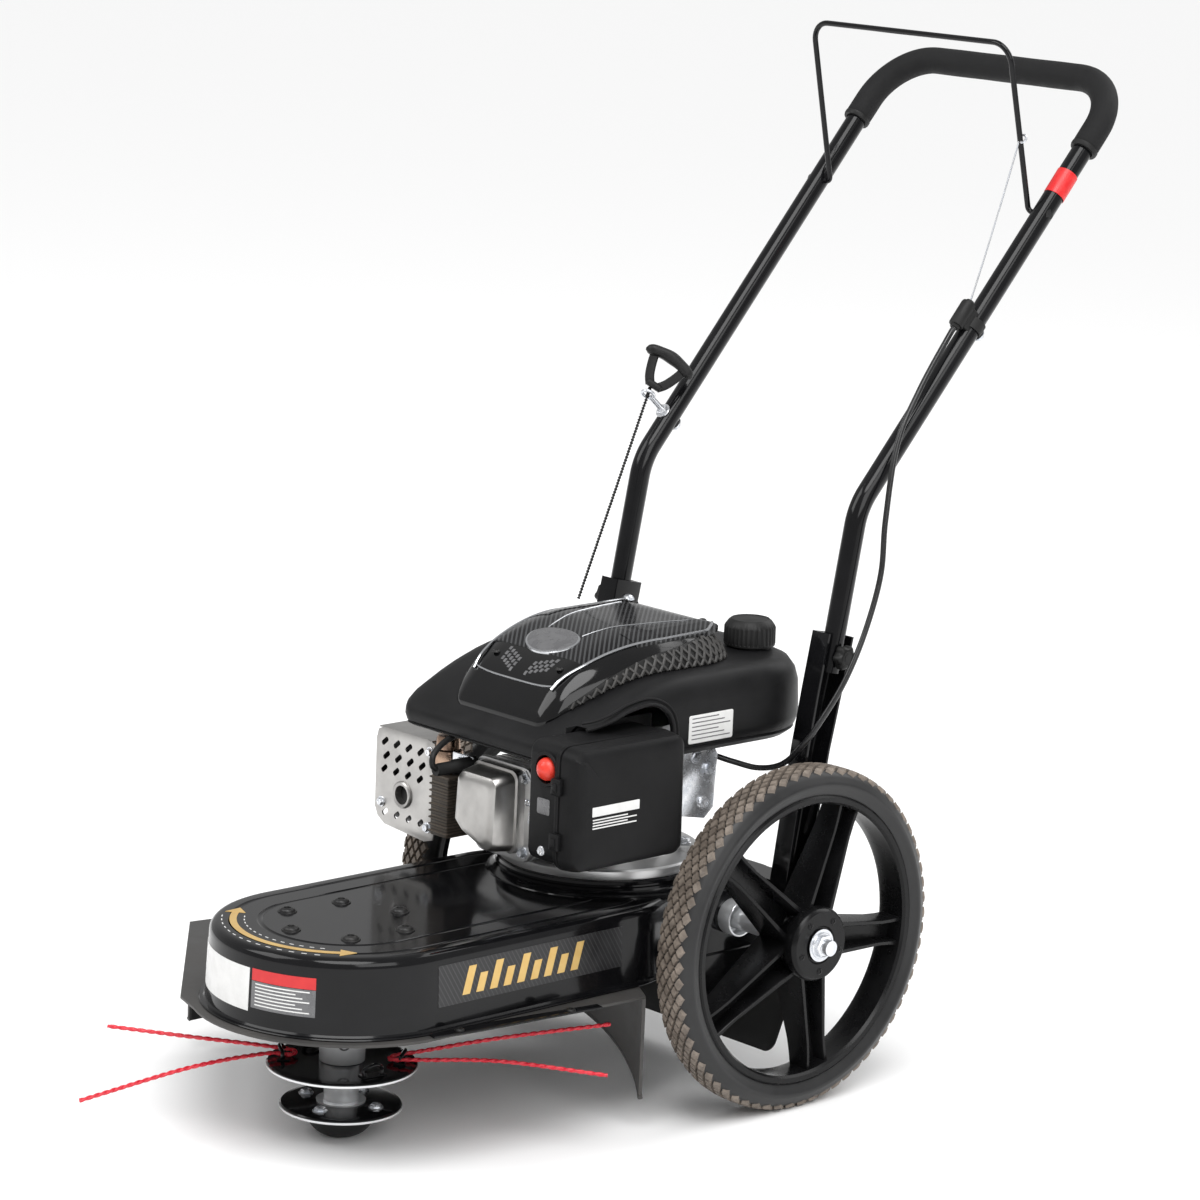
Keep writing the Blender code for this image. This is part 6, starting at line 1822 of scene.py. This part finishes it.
@dataclass
class Frame:
    """The uprights, crossmember fasteners and the finishes of the CAD solids that stay."""

    web: float = 0.1455
    edge: float = 0.17
    wall: float = 0.003

    def channel(self) -> Surface:
        """Upright: a U section, open outward, carried along its leaning centre line."""
        centre = array(mm2(448, 198, 456, 245, 465, 300, 475, 360, 487, 418, 497, 464, 499.5, 476))
        depth = array([0.03, 0.0315, 0.033, 0.034, 0.0365, 0.038, 0.038])
        way = np.gradient(centre, axis=0)
        way /= np.linalg.norm(way, axis=1, keepdims=True)
        front = xyz(-way[:, 1], way[:, 0])
        w, e, t = self.web, self.edge, self.wall
        r = 0.0026
        section = [(w + r, 1, 0), (w + 0.0008, 1, 0.0008), (w, 1, r), (w, -1, r), (w + 0.0008, -1,
            0.0008), (w + r, -1, 0), (e - 0.0005, -1, 0), (e, -1, 0.0005), (e, -1, t),
            (w + t + 0.001, -1, t), (w + t, -1, t + 0.001), (w + t, 1, t + 0.001), (w + t + 0.001,
            1, t), (e, 1, t), (e, 1, 0.0005), (e - 0.0005, 1, 0)]
        x, sign, back = array(section).T[:, None, :]
        reach = sign * (depth[:, None] / 2 - back)
        y = centre[:, :1] + reach * front[:, :1]
        z = centre[:, 1:] + reach * front[:, 1:]
        return grid(xyz(x + 0 * y, y, z))

    def build(self) -> None:
        """Make the uprights with their slots, then the fasteners, then dress what stays."""
        for name, side in SIDES:
            made = piece(f"{name}_channel", self.channel().sided(side), POWDER_COAT,
                f"{name}_upright")
            cuts = [box((0.13, y - 0.004, z - 0.016), (0.16, y + 0.004, z + 0.016), 0.0035, Axis.X,
                4).sided(side) for y, z in ((0.462, 0.285), (0.476, 0.37))]
            carved(made, joined(cuts))
            bolts = [hex_head((self.web, y, z), (-1, 0, 0), 0.0068, 0.0058).sided(side) for y,
                z in ((0.45, 0.209), (0.456, 0.238))]
            bolts += [dome_head((self.web + self.wall, y, z), (1, 0, 0), 0.0066, 0.004).sided(side)
                for y, z in ((0.45, 0.209), (0.456, 0.238))]
            piece(f"{name}_upright_bolts", bolts, ZINC)
        ear = array(mm2(-176, 395, -145.5, 390, -145.5, 425, -156, 424))
        piece("rope_bracket", plate(ear, 0.48, 0.4825, Axis.Y, 0.0006), POWDER_COAT)
        self.underside()
        self.dress()

    def underside(self) -> None:
        """Bearing housing flange and its nuts, seen from below."""
        ring = revolve(mm2(24, 154, 46, 154, 48, 155.2, 48, 158, 46, 159.2, 24, 159.2), segments=72,
            loop=True)
        piece("bearing_flange", ring, CAST_ALLOY)
        angles = np.radians(45 + 90 * arange(4))
        nuts = [hex_head((0.04 * cos(a), 0.04 * sin(a), 0.154), (0, 0, -1), 0.005,
            0.0045) for a in angles]
        piece("flange_nuts", nuts, ZINC)

    def dress(self) -> None:
        """Give each CAD solid that still shows, or may show, its own finish."""
        chosen = {"axle": ZINC, "rear_crossmember": POWDER_COAT, "spindle_housing": CAST_ALLOY,
            "upper_bearing": ZINC, "lower_bearing": ZINC, "drive_belt": BLACK_RUBBER,
            "idler_arm": DARK_STEEL, "idler_pulley": ZINC, "engine_pulley": DARK_STEEL,
            "spindle_pulley": DARK_STEEL, "spindle_shaft": ZINC, "crankshaft": DARK_STEEL,
            "flywheel": CAST_ALLOY}
        for name, finish in chosen.items():
            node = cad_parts[name]
            node.data.materials.clear()
            node.data.materials.append(finish.material())
            log.info("%s: CAD solid kept in %s", name, finish.name)


# Stage
@dataclass
class Studio:
    """A pale plain floor, a white surround, soft lamps and the camera."""

    position: tuple = (3.09647563, -2.56074968, 1.39271931)
    azimuth: float = radians(47.0531)
    elevation: float = radians(11.8905)
    roll: float = radians(2.3231)
    lens: float = 127.97
    tone: float = 0.94
    ambient: float = 0.5
    sun: float = 1.75

    def build(self) -> None:
        """Make the floor, the surround, the lamps and the camera."""
        self.floor()
        self.surround()
        self.lamp("key", (-1.6, -2.6, 3.4), 2.4, 70)
        self.lamp("fill", (3.2, -0.6, 2.4), 2.2, 48)
        self.lamp("rim", (0.6, 3.4, 3), 2.6, 50)
        self.sky_light()
        self.camera()

    def floor(self) -> None:
        """A large flat square under the mower."""
        mesh = bpy.data.meshes.new("floor")
        mesh.from_pydata([(-30, -30, 0), (30, -30, 0), (30, 30, 0), (-30, 30, 0)], [], [(0, 1, 2,
            3)])
        floor = stood("floor", mesh)
        made = bpy.data.materials.new("floor")
        made.use_nodes = True
        adjusted(made.node_tree.nodes["Principled BSDF"], Base_Color=(*[self.tone] * 3, 1.0),
            Roughness=0.9, Specular_IOR_Level=0.1)
        mesh.materials.append(made)

    def surround(self) -> None:
        """An even white world."""
        world = bpy.data.worlds.new("surround")
        world.use_nodes = True
        tree = world.node_tree
        back = adjusted(tree.nodes["Background"], Color=(1.0, 1.0, 1.0, 1.0))
        seen, level = added(tree, "LightPath"), added(tree, "Math")
        level.operation = "MAXIMUM"
        level.inputs[1].default_value = self.ambient
        tree.links.new(seen.outputs["Is Camera Ray"], level.inputs[0])
        tree.links.new(level.outputs["Value"], back.inputs["Strength"])
        bpy.context.scene.world = world
        bpy.context.scene.view_settings.view_transform = "Standard"

    def sky_light(self) -> None:
        """A broad, soft light from high on the front left that keeps the floor white."""
        data = bpy.data.lights.new("high", "SUN")
        data.energy = self.sun
        data.angle = radians(35)
        way = Vector((-0.35, 0.3, -1.0))
        stood("high", data).rotation_euler = way.to_track_quat("-Z", "Y").to_euler()

    def lamp(self, name: str, at: tuple, size: float, power: float) -> None:
        """Add a square lamp that faces the mower's middle."""
        data = bpy.data.lights.new(name, "AREA")
        data.size = size
        data.energy = power
        lamp = stood(name, data)
        lamp.location = at
        aim = Vector((0.0, 0.3, 0.4)) - Vector(at)
        lamp.rotation_euler = aim.to_track_quat("-Z", "Y").to_euler()

    def camera(self) -> None:
        """Stand the camera front and left of the mower, a little above it, slightly rolled."""
        sin_a, cos_a = sin(self.azimuth), cos(self.azimuth)
        sin_e, cos_e = sin(self.elevation), cos(self.elevation)
        back = array([sin_a * cos_e, -cos_a * cos_e, sin_e])
        right = array([cos_a, sin_a, 0])
        up = np.cross(back, right)
        sin_r, cos_r = sin(self.roll), cos(self.roll)
        columns = np.column_stack([right * cos_r + up * sin_r, up * cos_r - right * sin_r, back])
        data = bpy.data.cameras.new("camera")
        data.lens = self.lens
        camera = stood("camera", data)
        turn = Matrix(columns.tolist()).to_4x4()
        camera.matrix_world = Matrix.Translation(self.position) @ turn
        bpy.context.scene.camera = camera


def main() -> None:
    """Build every sub-assembly in order, from the ground up, then the studio."""
    logging.basicConfig(level=logging.INFO, format="%(name)s: %(message)s")
    Studio().build()
    Deck().build()
    Guard().build()
    Frame().build()
    for name, side in SIDES:
        Wheel(name, side).build()
    TrimmerHead().build()
    Engine().build()
    AirBox().build()
    Hood().build()
    Handle().build()


if __name__ == "__main__":
    main()
